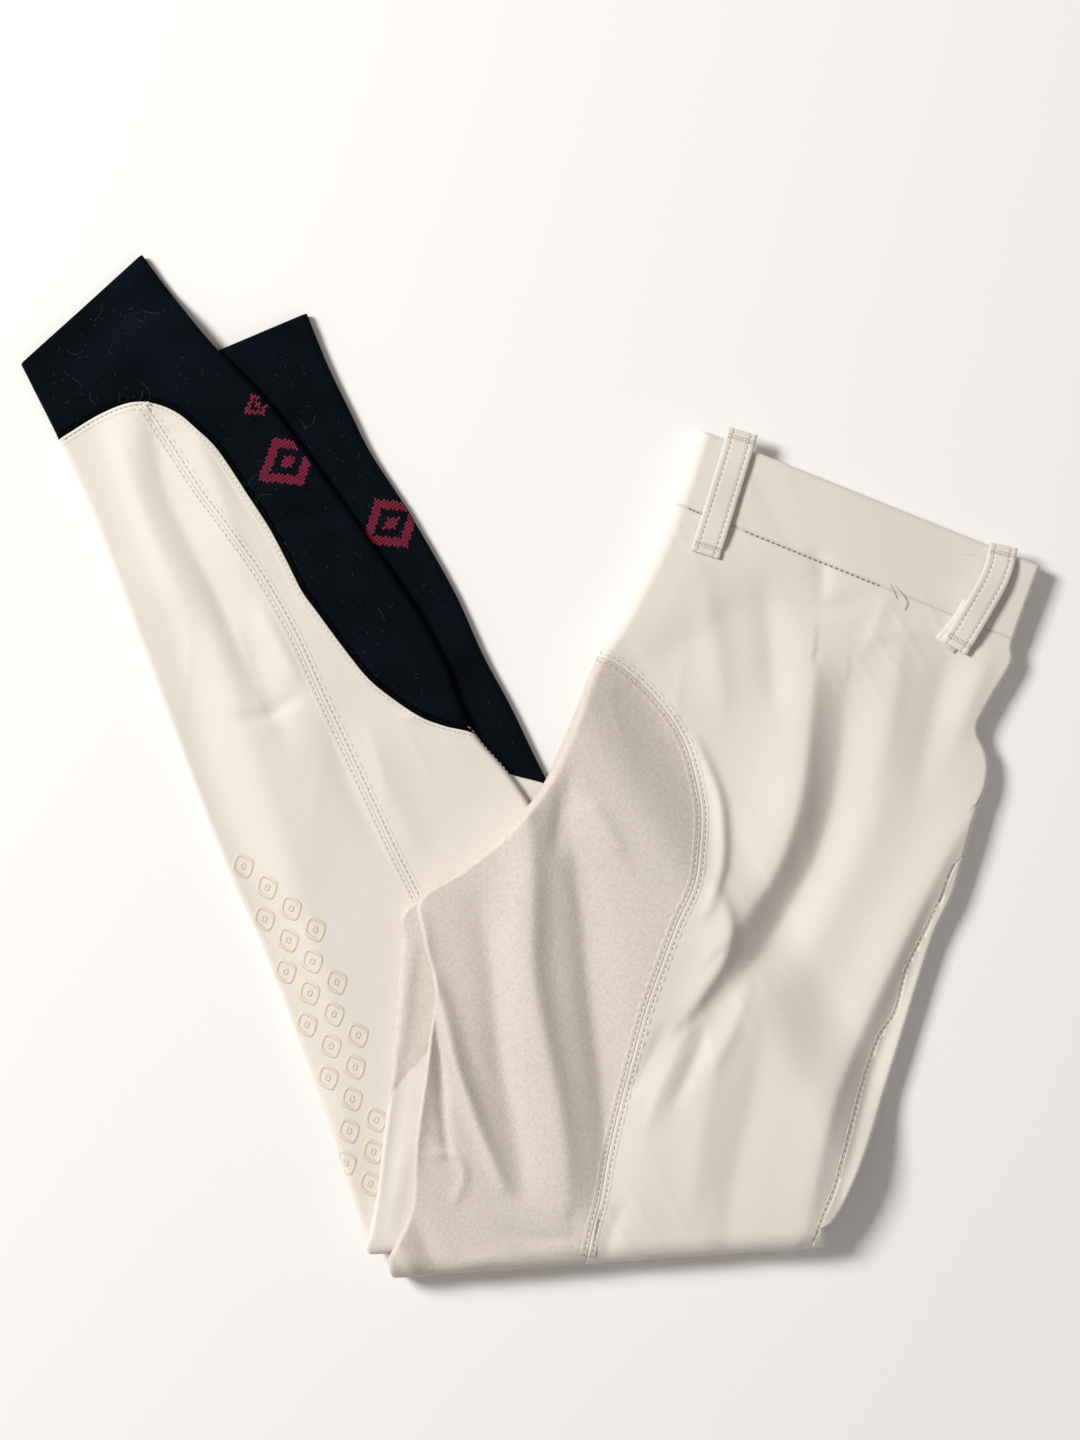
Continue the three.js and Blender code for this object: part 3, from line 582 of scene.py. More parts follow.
def leg_piece(name, leg, span, start, end, step, limits, material,
              wall=CLOTH_WALL, lift=0.0, trims=(), relief=None):
    """One piece of a leg's cloth: rows over span, from one place round the section to another, cut
    along seams. Each limit is a seam's path and 1 to keep its left or -1 to keep its right."""
    rows = rows_between(leg, span[0], span[1], step)
    low, high = start(rows), end(rows)
    columns = int((high - low).max() / step)
    places = low[:, None] + (high - low)[:, None] * np.linspace(0, 1, columns + 1)[None, :]
    params = np.stack([np.repeat(rows, columns + 1), places.ravel()], axis=1)
    faces = grid_faces(len(rows) - 1, columns)
    for path, side in limits:
        spots = leg_points(leg, params[:, 0], params[:, 1], folds=0.0)
        distance, _ = seam_side(path, spots[:, 0], spots[:, 1] + MIDDLE_Y)
        params, faces = cut_along(params, faces, distance * side - SEAM_CLEARANCE)
    s, place = params[:, 0], params[:, 1]
    rise = relief(s, place) if relief else 0.0
    spots = leg_points(leg, s, place, folds=0.0)
    x, y = spots[:, 0], spots[:, 1] + MIDDLE_Y
    folds = fold_height(leg["folds"], x, y) + unevenness(x, y, leg["swell"])
    outer = leg_points(leg, s, place, -lift, rise, folds)
    inner = leg_points(leg, s, place, wall - lift, rise, folds)
    points, faces, used = closed_shell(outer, inner, faces)
    middle = leg_points(leg, rows, section_at(leg, rows)["flat"] / 2, folds=0.0)
    length = np.interp(s, rows, run_length(middle))
    uv = np.stack([place[used], length[used]], axis=1)
    uv = np.concatenate([uv, uv])
    shapes = [(points, faces)] + list(trims)
    piece = new_object(name, *merge(shapes), material)
    uv = np.concatenate([uv, np.zeros((len(piece.data.vertices) - len(uv), 2))])
    layer = piece.data.uv_layers.new(name="cloth")
    index = np.zeros(len(piece.data.loops), dtype=int)
    piece.data.loops.foreach_get("vertex_index", index)
    layer.data.foreach_set("uv", (uv[index] * MM).ravel())
    return piece


# One side of a lapped and topstitched seam: offset from the seam's line and height there
SEAM_EDGE = [
    (0.0, -0.1), (0.1, 0.06), (0.45, 0.2), (1.0, 0.26), (1.5, 0.18), (1.85, -0.02), (2.1, -0.1),
    (2.35, -0.02), (2.8, 0.13), (3.6, 0.09), (4.8, -0.1),
]


def seam_edge(surface, path, side, size=1.0):
    profile = SEAM_EDGE if side > 0 else SEAM_EDGE[::-1]
    offsets = [side * off * size for off, _ in profile]
    return laid_strip(surface, path, offsets, [z * size for _, z in profile])


def pucker(path, x, y, height=0.16, pitch=6.4, reach=5.0):
    """Small gathers that a tight row of stitches draws beside a seam."""
    off, along = seam_side(path, x, y)
    wave = np.sin(2 * np.pi * along / pitch + 1.7 * np.sin(along / 17.0)) * (0.6 + 0.4 * np.sin(along / 29.0))
    return height * wave * np.exp(-(off / reach) ** 2)


# Stretch cloth: woven polyamide and elastane with a peached face. It gives the eye a soft, even
# cream with a very fine grain and hardly any shine.
GRAIN_MM = 0.9
stretch_cloth, tree = new_material("peached_stretch_cloth")
where = add_node(tree, "ShaderNodeTexCoord")


def noise(tree, where, scale, detail):
    """Noise that stays with the object, with scale in waves a metre."""
    return add_node(tree, "ShaderNodeTexNoise", [("Vector", where, "Object")], Scale=scale, Detail=detail)


patches = noise(tree, where, 14.0, 3.0)
grain = noise(tree, where, 1 / (GRAIN_MM * MM), 2.0)
weave = noise(tree, where, 3.2 / (GRAIN_MM * MM), 1.0)
tint = add_node(tree, "ShaderNodeMix", [("Factor", patches, "Fac")], data_type="RGBA")
tint.inputs[6].default_value = linear("#E6DFD8")
tint.inputs[7].default_value = linear("#EEE9E3")
speckle = add_node(tree, "ShaderNodeMix", [("Factor", grain, "Fac")],
                   data_type="RGBA", blend_type="MULTIPLY")
tree.links.new(tint.outputs[2], speckle.inputs[6])
speckle.inputs[7].default_value = linear("#F4F2EE")
height = add_node(tree, "ShaderNodeMath", [(0, grain, "Fac"), (1, weave, "Fac")], operation="ADD")
bump = add_node(tree, "ShaderNodeBump", [("Height", height, "Value")], Strength=0.35, Distance=0.00012)
cloth_shader = add_node(tree, "ShaderNodeBsdfPrincipled", [("Normal", bump, "Normal")])
tree.links.new(speckle.outputs[2], cloth_shader.inputs["Base Color"])
cloth_shader.inputs["Roughness"].default_value = 0.78
cloth_shader.inputs["Specular IOR Level"].default_value = 0.3
cloth_shader.inputs["Sheen Weight"].default_value = 0.12
cloth_shader.inputs["Sheen Roughness"].default_value = 0.5
finish_material(tree, cloth_shader)

# Grip leather: polyurethane-coated microfibre, embossed with a fine pebble. It gives the eye a
# slightly darker, pinker beige with tiny even dimples and a faint satin light on the creases.
PEBBLE_MM = 1.7
grip_leather, tree = new_material("embossed_grip_leather")
where = add_node(tree, "ShaderNodeTexCoord")
pebbles = add_node(tree, "ShaderNodeTexVoronoi", [("Vector", where, "Object")], Scale=1 / (PEBBLE_MM * MM))
clouds = noise(tree, where, 8.0, 1.0)
wear = add_node(tree, "ShaderNodeMix", [("Factor", clouds, "Fac")], data_type="RGBA")
wear.inputs[6].default_value = linear("#DCD3CB")
wear.inputs[7].default_value = linear("#E4DDD5")
# The grooves between the pebbles are darkened in colour, most where the bump sinks lowest: painted shade.
pebble_gap_shade_mask = add_node(tree, "ShaderNodeMapRange", [("Value", pebbles, "Distance")])
pebble_gap_shade_mask.inputs["From Max"].default_value = 0.8
pebble_gap_shade_mask.inputs["To Min"].default_value = 0.0
pebble_gap_shade_mask.inputs["To Max"].default_value = 0.35
pebble_gap_shade = add_node(tree, "ShaderNodeMix", [("Factor", pebble_gap_shade_mask, "Result")],
                   data_type="RGBA", blend_type="MULTIPLY")
tree.links.new(wear.outputs[2], pebble_gap_shade.inputs[6])
pebble_gap_shade.inputs[7].default_value = linear("#D9CDC3")
bump = add_node(tree, "ShaderNodeBump", [("Height", pebbles, "Distance")], Strength=0.4, Distance=0.00018)
bump.invert = True
leather_shader = add_node(tree, "ShaderNodeBsdfPrincipled", [("Normal", bump, "Normal")])
tree.links.new(pebble_gap_shade.outputs[2], leather_shader.inputs["Base Color"])
leather_shader.inputs["Roughness"].default_value = 0.6
leather_shader.inputs["Specular IOR Level"].default_value = 0.35
finish_material(tree, leather_shader)

right_thigh = make_leg(THIGH_SECTIONS, under_thigh, THIGH_FOLDS, height=THIGH_HEIGHT, fold_radius=FOLD_HEIGHT)
UNDER_TUCK = 18.0
seat_path = plan_path(SEAT_SEAM)
side_path = plan_path(SIDE_SEAM)
seat_long = plan_path(SEAT_SEAM, 4)
side_long = plan_path(SIDE_SEAM, 4)
thigh_top = on_cloth(right_thigh)


def whole_edge(rows):
    return -EDGE_SHARE + 0 * rows


def thigh_under(rows):
    return section_at(right_thigh, rows)["flat"] + EDGE_SHARE + UNDER_TUCK


def thigh_relief(s, place):
    spots = leg_points(right_thigh, s, place, folds=0.0)
    x, y = spots[:, 0], spots[:, 1] + MIDDLE_Y
    return pucker(seat_long, x, y) + pucker(side_long, x, y, 0.05, 7.5, 5.0)


# Each seam where it shows, less what the waistband and the fold hide
seat_visible = part_of(seat_path, 3, -24)
side_visible = part_of(side_path, 42, -36)
side_sewn = part_of(side_path, 30, -36)
thigh_step = 2.0
seat_patch = leg_piece(
    "seat_patch", right_thigh, (3.6, FOLD_ROW + 1), whole_edge,
    lambda rows: np.full(rows.shape, 152.0), thigh_step, [(seat_long, -1)], grip_leather,
    trims=[seam_edge(thigh_top, seat_visible, -1)], relief=thigh_relief)
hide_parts("seat_patch_right")

back_panel = leg_piece(
    "back_panel", right_thigh, (1.0, FOLD_ROW + 1), whole_edge, thigh_under, thigh_step,
    [(seat_long, 1), (side_long, -1)], stretch_cloth,
    trims=[seam_edge(thigh_top, seat_visible, 1), seam_edge(thigh_top, side_visible, -1, 0.5)],
    relief=thigh_relief)
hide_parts("back_panel_right")

front_edge = leg_piece(
    "front_panel_edge", right_thigh, (8.0, FOLD_ROW + 1),
    lambda rows: section_at(right_thigh, rows)["flat"] * 0.55, thigh_under, thigh_step,
    [(side_long, 1)], stretch_cloth, relief=thigh_relief)
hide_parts("front_panel_right")

# Sewing thread: polyester in the colour of the cloth, drawn darker all over as painted shade for where it
# sinks in.
sewing_thread, tree = new_material("polyester_thread")
thread_shader = add_node(tree, "ShaderNodeBsdfPrincipled", Roughness=0.55)
thread_shader.inputs["Base Color"].default_value = linear("#C8BCAA")
finish_material(tree, thread_shader)


def sewn(name, *rows, material=None):
    return new_object(name, *merge(rows), material or sewing_thread)


SEAT_STITCHES = 2.1
sewn("seat_seam_stitches", stitch_row(thigh_top, seat_visible, SEAT_STITCHES),
     stitch_row(thigh_top, seat_visible, -SEAT_STITCHES))
sewn("side_seam_stitches", stitch_row(thigh_top, side_sewn, -1.6, lift=0.14))

# Left thigh
# The lower leg of the stack, the same tube of cloth. Beside the inseam of the upper leg its own
# inseam edge shows, with the end of its grip leather over the smooth cloth.
LEFT_INSEAM = [
    (-65, -75), (-67, -92), (-69, -119), (-72, -156), (-76, -188), (-80, -222), (-84, -244), (-86, -251),
]
BACK_FOLD_ROWS = 8
INSIDE_BACK = 7.0
INSIDE_SIDE = 2.0
LEFT_FOLD_RADIUS = SHIN_STACK + LEG_HEIGHT - FOLD_HEIGHT
INSEAM_FOLDS = [
    (1.4, 3, 5, [(-61, -92), (-64, -120), (-67, -150)]),
    (-1.2, 3, 4, [(-63, -150), (-70, -190), (-75, -226)]),
    (0.9, 3, 3, [(-64, -196), (-69, -222), (-73, -246)]),
]


def left_thigh_sections():
    rows = []
    for i, (ax, ay, bx, by, edge) in enumerate(THIGH_SECTIONS.tolist()):
        width = np.hypot(bx - ax, by - ay)
        across = ((bx - ax) / width, (by - ay) / width)
        inner = (ax + across[0] * INSIDE_BACK, ay + across[1] * INSIDE_BACK)
        if i > BACK_FOLD_ROWS:
            inner = LEFT_INSEAM[i - BACK_FOLD_ROWS - 1]
        rows.append((*inner, bx - across[0] * INSIDE_SIDE, by - across[1] * INSIDE_SIDE))
    return rows


left_thigh = make_leg(
    left_thigh_sections(), under_thigh, INSEAM_FOLDS, fold_radius=LEFT_FOLD_RADIUS, swell=0.1)


def slit_start(rows):
    return -EDGE_SHARE / 2 + 0 * rows


def all_round(leg):
    return lambda rows: 2 * section_at(leg, rows)["flat"] + 1.5 * EDGE_SHARE


left_cloth = leg_piece(
    "left_thigh_cloth", left_thigh, (1.03, FOLD_ROW + 1), slit_start, all_round(left_thigh), 3.4, [],
    stretch_cloth)
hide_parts("hidden_thigh_layers", "hidden_fold_layers")

LEATHER_END = [(-40, -137.7), (-57.2, -157.7), (-73.1, -176.2), (-95, -201.7)]
leather_end = plan_path(LEATHER_END, 2)
left_top = on_cloth(left_thigh)


def leather_relief(s, place):
    spots = leg_points(left_thigh, s, place, folds=0.0)
    distance, _ = seam_side(leather_end, spots[:, 0], spots[:, 1] + MIDDLE_Y)
    return -0.62 * (1 - ease(-distance / 7.0))


left_patch = leg_piece(
    "seat_patch_left_edge", left_thigh, (8.75, 13.6), whole_edge, lambda rows: 26 + 0 * rows, 1.7,
    [(leather_end, -1)], grip_leather, wall=0.9, lift=0.42, relief=leather_relief)
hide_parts("seat_patch_left")

# Left shin
# It lies on top, its inside outwards: a tube of smooth cloth with a double topstitched seam down
# the calf, closed at the ankle by a knit cuff that rises up the back in a curved point.
LEFT_SHIN_SECTIONS = [
    (-269, 212, -205, 270), (-262, 198, -190, 250), (-249, 172, -167, 222), (-233, 137, -140, 194),
    (-218, 98, -117, 164), (-203, 58, -92, 129), (-187, 15, -67, 93), (-172, -25, -47, 59),
    (-158, -59, -31, 20), (-142, -94, -10, -6), (-126, -135, 16, -45), (-110, -177, 48, -92),
    (-98, -213, 85, -148), (-90, -237, 122, -204), (-86, -251, 152, -241),
]
RIGHT_SHIN_SECTIONS = [
    (-196, 206, -118, 239), (-184, 178, -107, 212), (-173, 151, -95, 187), (-163, 125, -84, 165),
    (-149, 88, -64, 134), (-135, 40, -40, 92), (-122, 3, -25, 59), (-110, -34, -10, 31),
    (-98, -71, 6, -2), (-86, -114, 32, -50), (-77, -161, 64, -106), (-74, -204, 98, -164),
    (-73, -230, 127, -209), (-74, -246, 144, -230), (-74, -257, 154, -241),
]
KNIT_SEAM = [
    (-254, 169), (-243, 176), (-228, 185), (-211, 191), (-199, 191), (-186, 186), (-175, 177),
    (-164, 166), (-148, 142), (-137, 125), (-128, 108), (-120, 92), (-112, 81), (-101, 66),
    (-86, 47), (-73, 36), (-58, 26), (-45, 21), (-32, 18), (-18, 13),
]
CALF_SEAM = [
    (-212, 202), (-204, 190), (-190, 168), (-175, 145), (-160, 125), (-141, 98), (-124, 68),
    (-111, 39), (-99, 13), (-86, -15), (-73, -43), (-59, -71), (-46, -99), (-30, -136), (-10, -181),
    (26, -262),
]
SHIN_FOLDS = [
    (-4.6, 13, 8, [(-199, 178), (-193, 150), (-178, 115), (-162, 84), (-144, 40)]),
    (3.0, 8, 10, [(-217, 173), (-207, 141), (-194, 109), (-180, 82)]),
    (1.6, 6, 8, [(-177, 178), (-164, 146), (-152, 114)]),
    (-1.6, 9, 7, [(-147, 67), (-136, 35), (-128, 11)]),
    (1.8, 5, 6, [(-142, 82), (-130, 61), (-122, 45)]),
    (-1.3, 5, 4, [(-154, 25), (-139, 26), (-122, 37)]),
    (-1.5, 7, 7, [(-106, 24), (-94, -13), (-77, -45)]),
    (1.3, 8, 8, [(-84, 16), (-71, -18), (-58, -45)]),
    (-1.2, 9, 8, [(-184, 35), (-167, -18), (-148, -61)]),
    (-1.0, 8, 8, [(-127, -87), (-106, -140), (-87, -193)]),
    (-1.8, 4, 6, [(-137, 131), (-119, 130), (-98, 136)]),
    (1.4, 5, 4, [(-130, 120), (-112, 122), (-96, 125)]),
    (-2.0, 4, 6, [(-74, 40), (-56, 35), (-32, 40)]),
    (1.6, 5, 4, [(-67, 26), (-48, 27), (-30, 28)]),
    (1.0, 4, 5, [(-249, 219), (-228, 237), (-207, 256)]),
    (-0.9, 5, 5, [(-241, 206), (-219, 224), (-196, 245)]),
    (-1.0, 6, 6, [(-175, 194), (-156, 173), (-138, 151)]),
]


def edge_x(sections, y):
    points = np.array([row[:2] for row in sections], dtype=float)[::-1]
    return np.interp(y, points[:, 1], points[:, 0])


def under_left_shin(x, y):
    inside = x - edge_x(RIGHT_SHIN_SECTIONS, y)
    hem = RIGHT_SHIN_SECTIONS[0]
    below = left_of(hem[2:], hem[:2], x, y)
    side = ease((inside + SHIN_LEAD + SHIN_RAMP) / SHIN_RAMP)
    return LEG_PITCH * side * ease((below + SHIN_LEAD + ANKLE_RAMP) / ANKLE_RAMP)


# Elastic knit: navy polyamide and elastane knitted in fine ribs that run down the leg. It gives
# the eye a dead, almost black blue with a faint fuzz. Real ribs of 0.7 mm are drawn at 1.4 mm,
# and a wave texture of scale 1 repeats every 0.314.
RIB_MM = 1.4
RIB_WAVE = 0.314
RIB_TRIM = 0.98
elastic_knit, tree = new_material("navy_elastic_knit")
where = add_node(tree, "ShaderNodeTexCoord")
ribs = add_node(tree, "ShaderNodeTexWave", [("Vector", where, "UV")],
                Scale=RIB_WAVE / (RIB_MM * MM) / RIB_TRIM, Distortion=0.6, Detail=1.0)
fuzz = noise(tree, where, 900.0, 4.0)
shade = noise(tree, where, 30.0, 3.0)
# The ribs make the colour darker in their grooves and lighter on their crests, in step with the bump: painted
# shade. The slow noise is the yarn's own uneven tone.
rib_shade_and_tone = add_node(tree, "ShaderNodeMath", [(0, ribs, "Fac"), (1, shade, "Fac")], operation="MULTIPLY")
yarn_and_rib_shade = add_node(tree, "ShaderNodeMix", [("Factor", rib_shade_and_tone, "Value")], data_type="RGBA")
yarn_and_rib_shade.inputs[6].default_value = linear("#020307")
yarn_and_rib_shade.inputs[7].default_value = linear("#19222E")
relief = add_node(tree, "ShaderNodeMath", [(0, ribs, "Fac"), (1, fuzz, "Fac")], operation="ADD")
bump = add_node(tree, "ShaderNodeBump", [("Height", relief, "Value")], Strength=0.5, Distance=0.00025)
knit_shader = add_node(tree, "ShaderNodeBsdfPrincipled", [("Normal", bump, "Normal")])
tree.links.new(yarn_and_rib_shade.outputs[2], knit_shader.inputs["Base Color"])
knit_shader.inputs["Roughness"].default_value = 0.92
knit_shader.inputs["Specular IOR Level"].default_value = 0.05
finish_material(tree, knit_shader)

left_shin = make_leg(LEFT_SHIN_SECTIONS, under_left_shin, SHIN_FOLDS)
shin_top = on_cloth(left_shin)
knit_path = plan_path(KNIT_SEAM)
knit_long = plan_path(KNIT_SEAM, 4)
calf_path = plan_path(CALF_SEAM)
calf_long = plan_path(CALF_SEAM, 4)
SHIN_END = len(LEFT_SHIN_SECTIONS) - 1.01
shin_step = 2.2
knit_visible = part_of(knit_path, 5, -4)
calf_visible = part_of(calf_path, 14, 330)


def calf_relief(s, place):
    spots = leg_points(left_shin, s, place, folds=0.0)
    return pucker(calf_long, spots[:, 0], spots[:, 1] + MIDDLE_Y, 0.18, 6.0, 5.0)


def hem_relief(s, place):
    return 0.4 * (1 - ease((s - 0.44) / 0.09)) - 0.25 * np.exp(-((s - 0.55) / 0.05) ** 2)


cuff_left = leg_piece(
    "knit_cuff", left_shin, (0.0, 9.0), slit_start, all_round(left_shin), shin_step, [(knit_long, 1)],
    elastic_knit, trims=[seam_edge(shin_top, knit_visible, 1, 0.8)], relief=hem_relief)
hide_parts("knit_cuff_left")

calf_inner = leg_piece(
    "calf_inside", left_shin, (1.0, SHIN_END), slit_start,
    lambda rows: section_at(left_shin, rows)["flat"] + EDGE_SHARE / 2, shin_step,
    [(knit_long, -1), (calf_long, -1)], stretch_cloth, relief=calf_relief,
    trims=[seam_edge(shin_top, calf_visible, -1), seam_edge(shin_top, part_of(knit_path, 5, 62), -1)])
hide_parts("calf_inner_left")

calf_outer = leg_piece(
    "calf_back", left_shin, (1.0, SHIN_END), slit_start, all_round(left_shin), shin_step,
    [(knit_long, -1), (calf_long, 1)], stretch_cloth, relief=calf_relief,
    trims=[seam_edge(shin_top, calf_visible, 1), seam_edge(shin_top, part_of(knit_path, 58, -4), -1)])
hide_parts("calf_outer_left")

front_left = leg_piece(
    "shin_front", left_shin, (1.0, SHIN_END),
    lambda rows: section_at(left_shin, rows)["flat"] + EDGE_SHARE, all_round(left_shin), 4.0,
    [(knit_long, -1), (calf_long, -1)], stretch_cloth)
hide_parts("front_panel_left")

CALF_STITCHES = 2.0
sewn("calf_seam_stitches", stitch_row(shin_top, calf_visible, CALF_STITCHES),
     stitch_row(shin_top, calf_visible, -CALF_STITCHES))
sewn("knit_seam_stitches", stitch_row(
    shin_top, part_of(knit_path, 8, -6), -1.6, pitch=2.8, length=2.0, thick=0.2))

# Silicone grip print
# Raised lozenges of translucent silicone printed inside the calf, where the leg meets the saddle.
# They stand less than half a millimetre proud and are a little yellower than the cloth.
GRIP_RIGHT_EDGE = [
    (-141.5, -39.5), (-112.4, -73.9), (-98, -100.4), (-83.7, -129.6), (-76, -156), (-74, -260),
]
GRIP_START = np.array([-150.0, -36.0])
GRIP_PITCH = (15.0, 15.5)
GRIP_SLANT = np.radians(-68.0)
# Half length, half width and thickness of the line of each lozenge
GRIP_LOZENGES = [(6.2, 5.2, 2.5), (1.5, 1.2, 1.8)]
silicone, tree = new_material("printed_silicone")
silicone_shader = add_node(tree, "ShaderNodeBsdfPrincipled", Roughness=0.42)
silicone_shader.inputs["Base Color"].default_value = linear("#E2D6C2")
silicone_shader.inputs["Specular IOR Level"].default_value = 0.4
finish_material(tree, silicone_shader)


def printed_ring(surface, middle, turn, reach, tall, width):
    """A raised lozenge outline printed on a surface."""
    angle = np.linspace(0, 2 * np.pi, 33)[:-1]
    bow = (np.abs(np.cos(angle)) ** 1.35 + np.abs(np.sin(angle)) ** 1.35) ** (-1 / 1.35)
    ring = []
    half = width / 2
    for grow, lift in ((half, -0.05), (half - 0.5, 0.2), (0.5 - half, 0.2), (-half, -0.05)):
        u = np.cos(angle) * bow * (reach + grow)
        v = np.sin(angle) * bow * (tall + grow)
        x = middle[0] + u * np.cos(turn) - v * np.sin(turn)
        y = middle[1] + u * np.sin(turn) + v * np.cos(turn)
        ring.append(surface(x, y, lift + 0 * x))
    points = np.stack(ring, axis=1).reshape(-1, 3)
    count = len(angle)
    faces = []
    for k in range(count):
        n = (k + 1) % count
        for a in range(4):
            b = (a + 1) % 4
            faces.append((k * 4 + a, n * 4 + a, n * 4 + b, k * 4 + b))
    return points, faces


grip = []
along_axis = np.array([np.cos(GRIP_SLANT), np.sin(GRIP_SLANT)])
cross_axis = np.array([-along_axis[1], along_axis[0]])
for i in range(-2, 18):
    for j in range(-8, 9):
        shift = 0.5 * (i % 2)
        beside = cross_axis * GRIP_PITCH[1] * (j + shift)
        spot = GRIP_START + along_axis * GRIP_PITCH[0] * i + beside
        right = np.interp(-spot[1], [-p[1] for p in GRIP_RIGHT_EDGE], [p[0] for p in GRIP_RIGHT_EDGE])
        left = edge_x(LEFT_SHIN_SECTIONS, spot[1])
        if -232 < spot[1] < -40 and left + 1.5 < spot[0] < right - 5:
            grip += [printed_ring(shin_top, spot, GRIP_SLANT, *size) for size in GRIP_LOZENGES]
new_object("silicone_grip", *merge(grip), silicone)

# Right shin
# It lies on the surface under the left one: the same tube and cuff, shown as a dark edge.
RIGHT_KNIT_SEAM = [
    (-180, 147), (-160, 157), (-137, 164), (-124, 162), (-111, 151), (-90, 120), (-70, 75),
    (-51, 44), (-35, 15), (-22, 1), (-9, -5), (3, -8), (16, -12),
]
RIGHT_SHIN_FOLDS = [
    (-1.0, 4, 6, [(-128, 206), (-112, 196), (-98, 168), (-86, 150)]),
    (1.0, 4, 5, [(-96, 138), (-84, 142), (-70, 138)]),
    (-1.2, 4, 5, [(-62, 84), (-50, 86), (-38, 80)]),
    (1.0, 5, 4, [(-50, 60), (-38, 62), (-28, 56)]),
]
right_shin = make_leg(RIGHT_SHIN_SECTIONS, lambda x, y: 0 * x, RIGHT_SHIN_FOLDS, swell=0.12)
right_shin_top = on_cloth(right_shin)
right_knit_long = plan_path(RIGHT_KNIT_SEAM, 4)
cuff_right = leg_piece(
    "knit_cuff_under", right_shin, (0.0, 10.0), slit_start, all_round(right_shin), 2.6,
    [(right_knit_long, 1)], elastic_knit, relief=hem_relief)
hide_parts("knit_cuff_right")
calf_right = leg_piece(
    "calf_under", right_shin, (1.0, SHIN_END), slit_start, all_round(right_shin), 4.5,
    [(right_knit_long, -1)], stretch_cloth)
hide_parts("calf_right")

# Knitted motif
# Stepped lozenges in dark red yarn on the outside of each cuff, knitted in with the ribs.
red_yarn, tree = new_material("red_knit_yarn")
where = add_node(tree, "ShaderNodeTexCoord")
fuzz = noise(tree, where, 900.0, 3.0)
shades = add_node(tree, "ShaderNodeMix", [("Factor", fuzz, "Fac")], data_type="RGBA")
shades.inputs[6].default_value = linear("#5E0F2A")
shades.inputs[7].default_value = linear("#9A1C42")
red_shader = add_node(tree, "ShaderNodeBsdfPrincipled", Roughness=0.9)
tree.links.new(shades.outputs[2], red_shader.inputs["Base Color"])
finish_material(tree, red_shader)

# One knitted stitch, across the leg and along it
YARN = (1.5, 1.25)


def knitted_lozenge(surface, middle, turn, reach, inside):
    """Stitches of a stepped lozenge, with a smaller one inside, as little raised pads."""
    shapes = []
    cos, sin = np.cos(turn), np.sin(turn)
    for i in range(-12, 13):
        for j in range(-14, 15):
            u, v = i * YARN[0], j * YARN[1]
            size = abs(u) / reach[0] + abs(v) / reach[1]
            if not (0.6 < size <= 1.0 or size < 0.26):
                continue
            centre = (middle[0] + u * cos - v * sin, middle[1] + u * sin + v * cos)
            if not inside(*centre):
                continue
            corners = [(-0.5, -0.35), (0.0, -0.6), (0.5, -0.35), (0.5, 0.4), (0.0, 0.15), (-0.5, 0.4)]
            x = np.array([centre[0] + (a * cos * YARN[0] - b * sin * YARN[1]) * 1.02 for a, b in corners])
            y = np.array([centre[1] + (a * sin * YARN[0] + b * cos * YARN[1]) * 1.02 for a, b in corners])
            lift = np.array([0.08, 0.26, 0.08, 0.08, 0.26, 0.08])
            top = surface(x, y, lift)
            bottom = surface(x, y, lift * 0 - 0.1)
            faces = [(0, 1, 4, 5), (1, 2, 3, 4), (11, 10, 7, 6), (10, 9, 8, 7)]
            faces += [(k, k + 6, (k + 1) % 6 + 6, (k + 1) % 6) for k in range(6)]
            shapes.append((np.concatenate([top, bottom]), faces))
    return shapes


def on_left_shin(x, y):
    a, b = np.array(LEFT_SHIN_SECTIONS[3][2:]), np.array(LEFT_SHIN_SECTIONS[5][2:])
    return left_of(a, b, x, y) < -1.2


motif = knitted_lozenge(shin_top, (-127.0, 160.0), np.radians(-58), (14.5, 19.0), on_left_shin)
motif += knitted_lozenge(shin_top, (-143.0, 190.0), np.radians(-58), (6.4, 8.2), on_left_shin)
new_object("knitted_motif", *merge(motif), red_yarn)


def on_right_shin(x, y):
    a, b = np.array(LEFT_SHIN_SECTIONS[4][2:]), np.array(LEFT_SHIN_SECTIONS[7][2:])
    return left_of(a, b, x, y) > 2.2


motif = knitted_lozenge(right_shin_top, (-73.0, 128.0), np.radians(-56), (15.0, 19.5), on_right_shin)
new_object("knitted_motif_under", *merge(motif), red_yarn)

# Waistband
# A doubled band of the same cloth, turned in at the top and topstitched to the panels, with the
# other three layers of the folded waist showing at its mouth.
BAND_WALL = 2.0
BAND_RISE = 0.5
BAND_FOLDS = [
    (-0.9, 9, 6, [(118, 150), (128, 130), (142, 112)]),
    (0.7, 9, 9, [(150, 140), (182, 124), (216, 108)]),
    (-0.7, 6, 6, [(190, 108), (210, 98), (228, 92)]),
    (0.6, 5, 5, [(236, 106), (240, 92), (236, 80)]),
]
band_leg = make_leg(THIGH_SECTIONS, under_thigh, THIGH_FOLDS + BAND_FOLDS, height=THIGH_HEIGHT, swell=0.2)
band_top = on_cloth(band_leg)


def band_relief(s, place):
    roll = -1.3 * (1 - ease(s / 0.05)) - 0.75 * (1 - ease((1.0 - s) / 0.035))
    step = 0.25 * np.exp(-((s - 0.12) / 0.02) ** 2)
    return BAND_RISE + 0.35 * np.sin(np.pi * np.clip(s, 0, 1)) + roll + step


waistband = leg_piece(
    "waist_band", band_leg, (0.0, 0.999), whole_edge, thigh_under, 1.5, [], stretch_cloth,
    wall=BAND_WALL, relief=band_relief)
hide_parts("waistband")

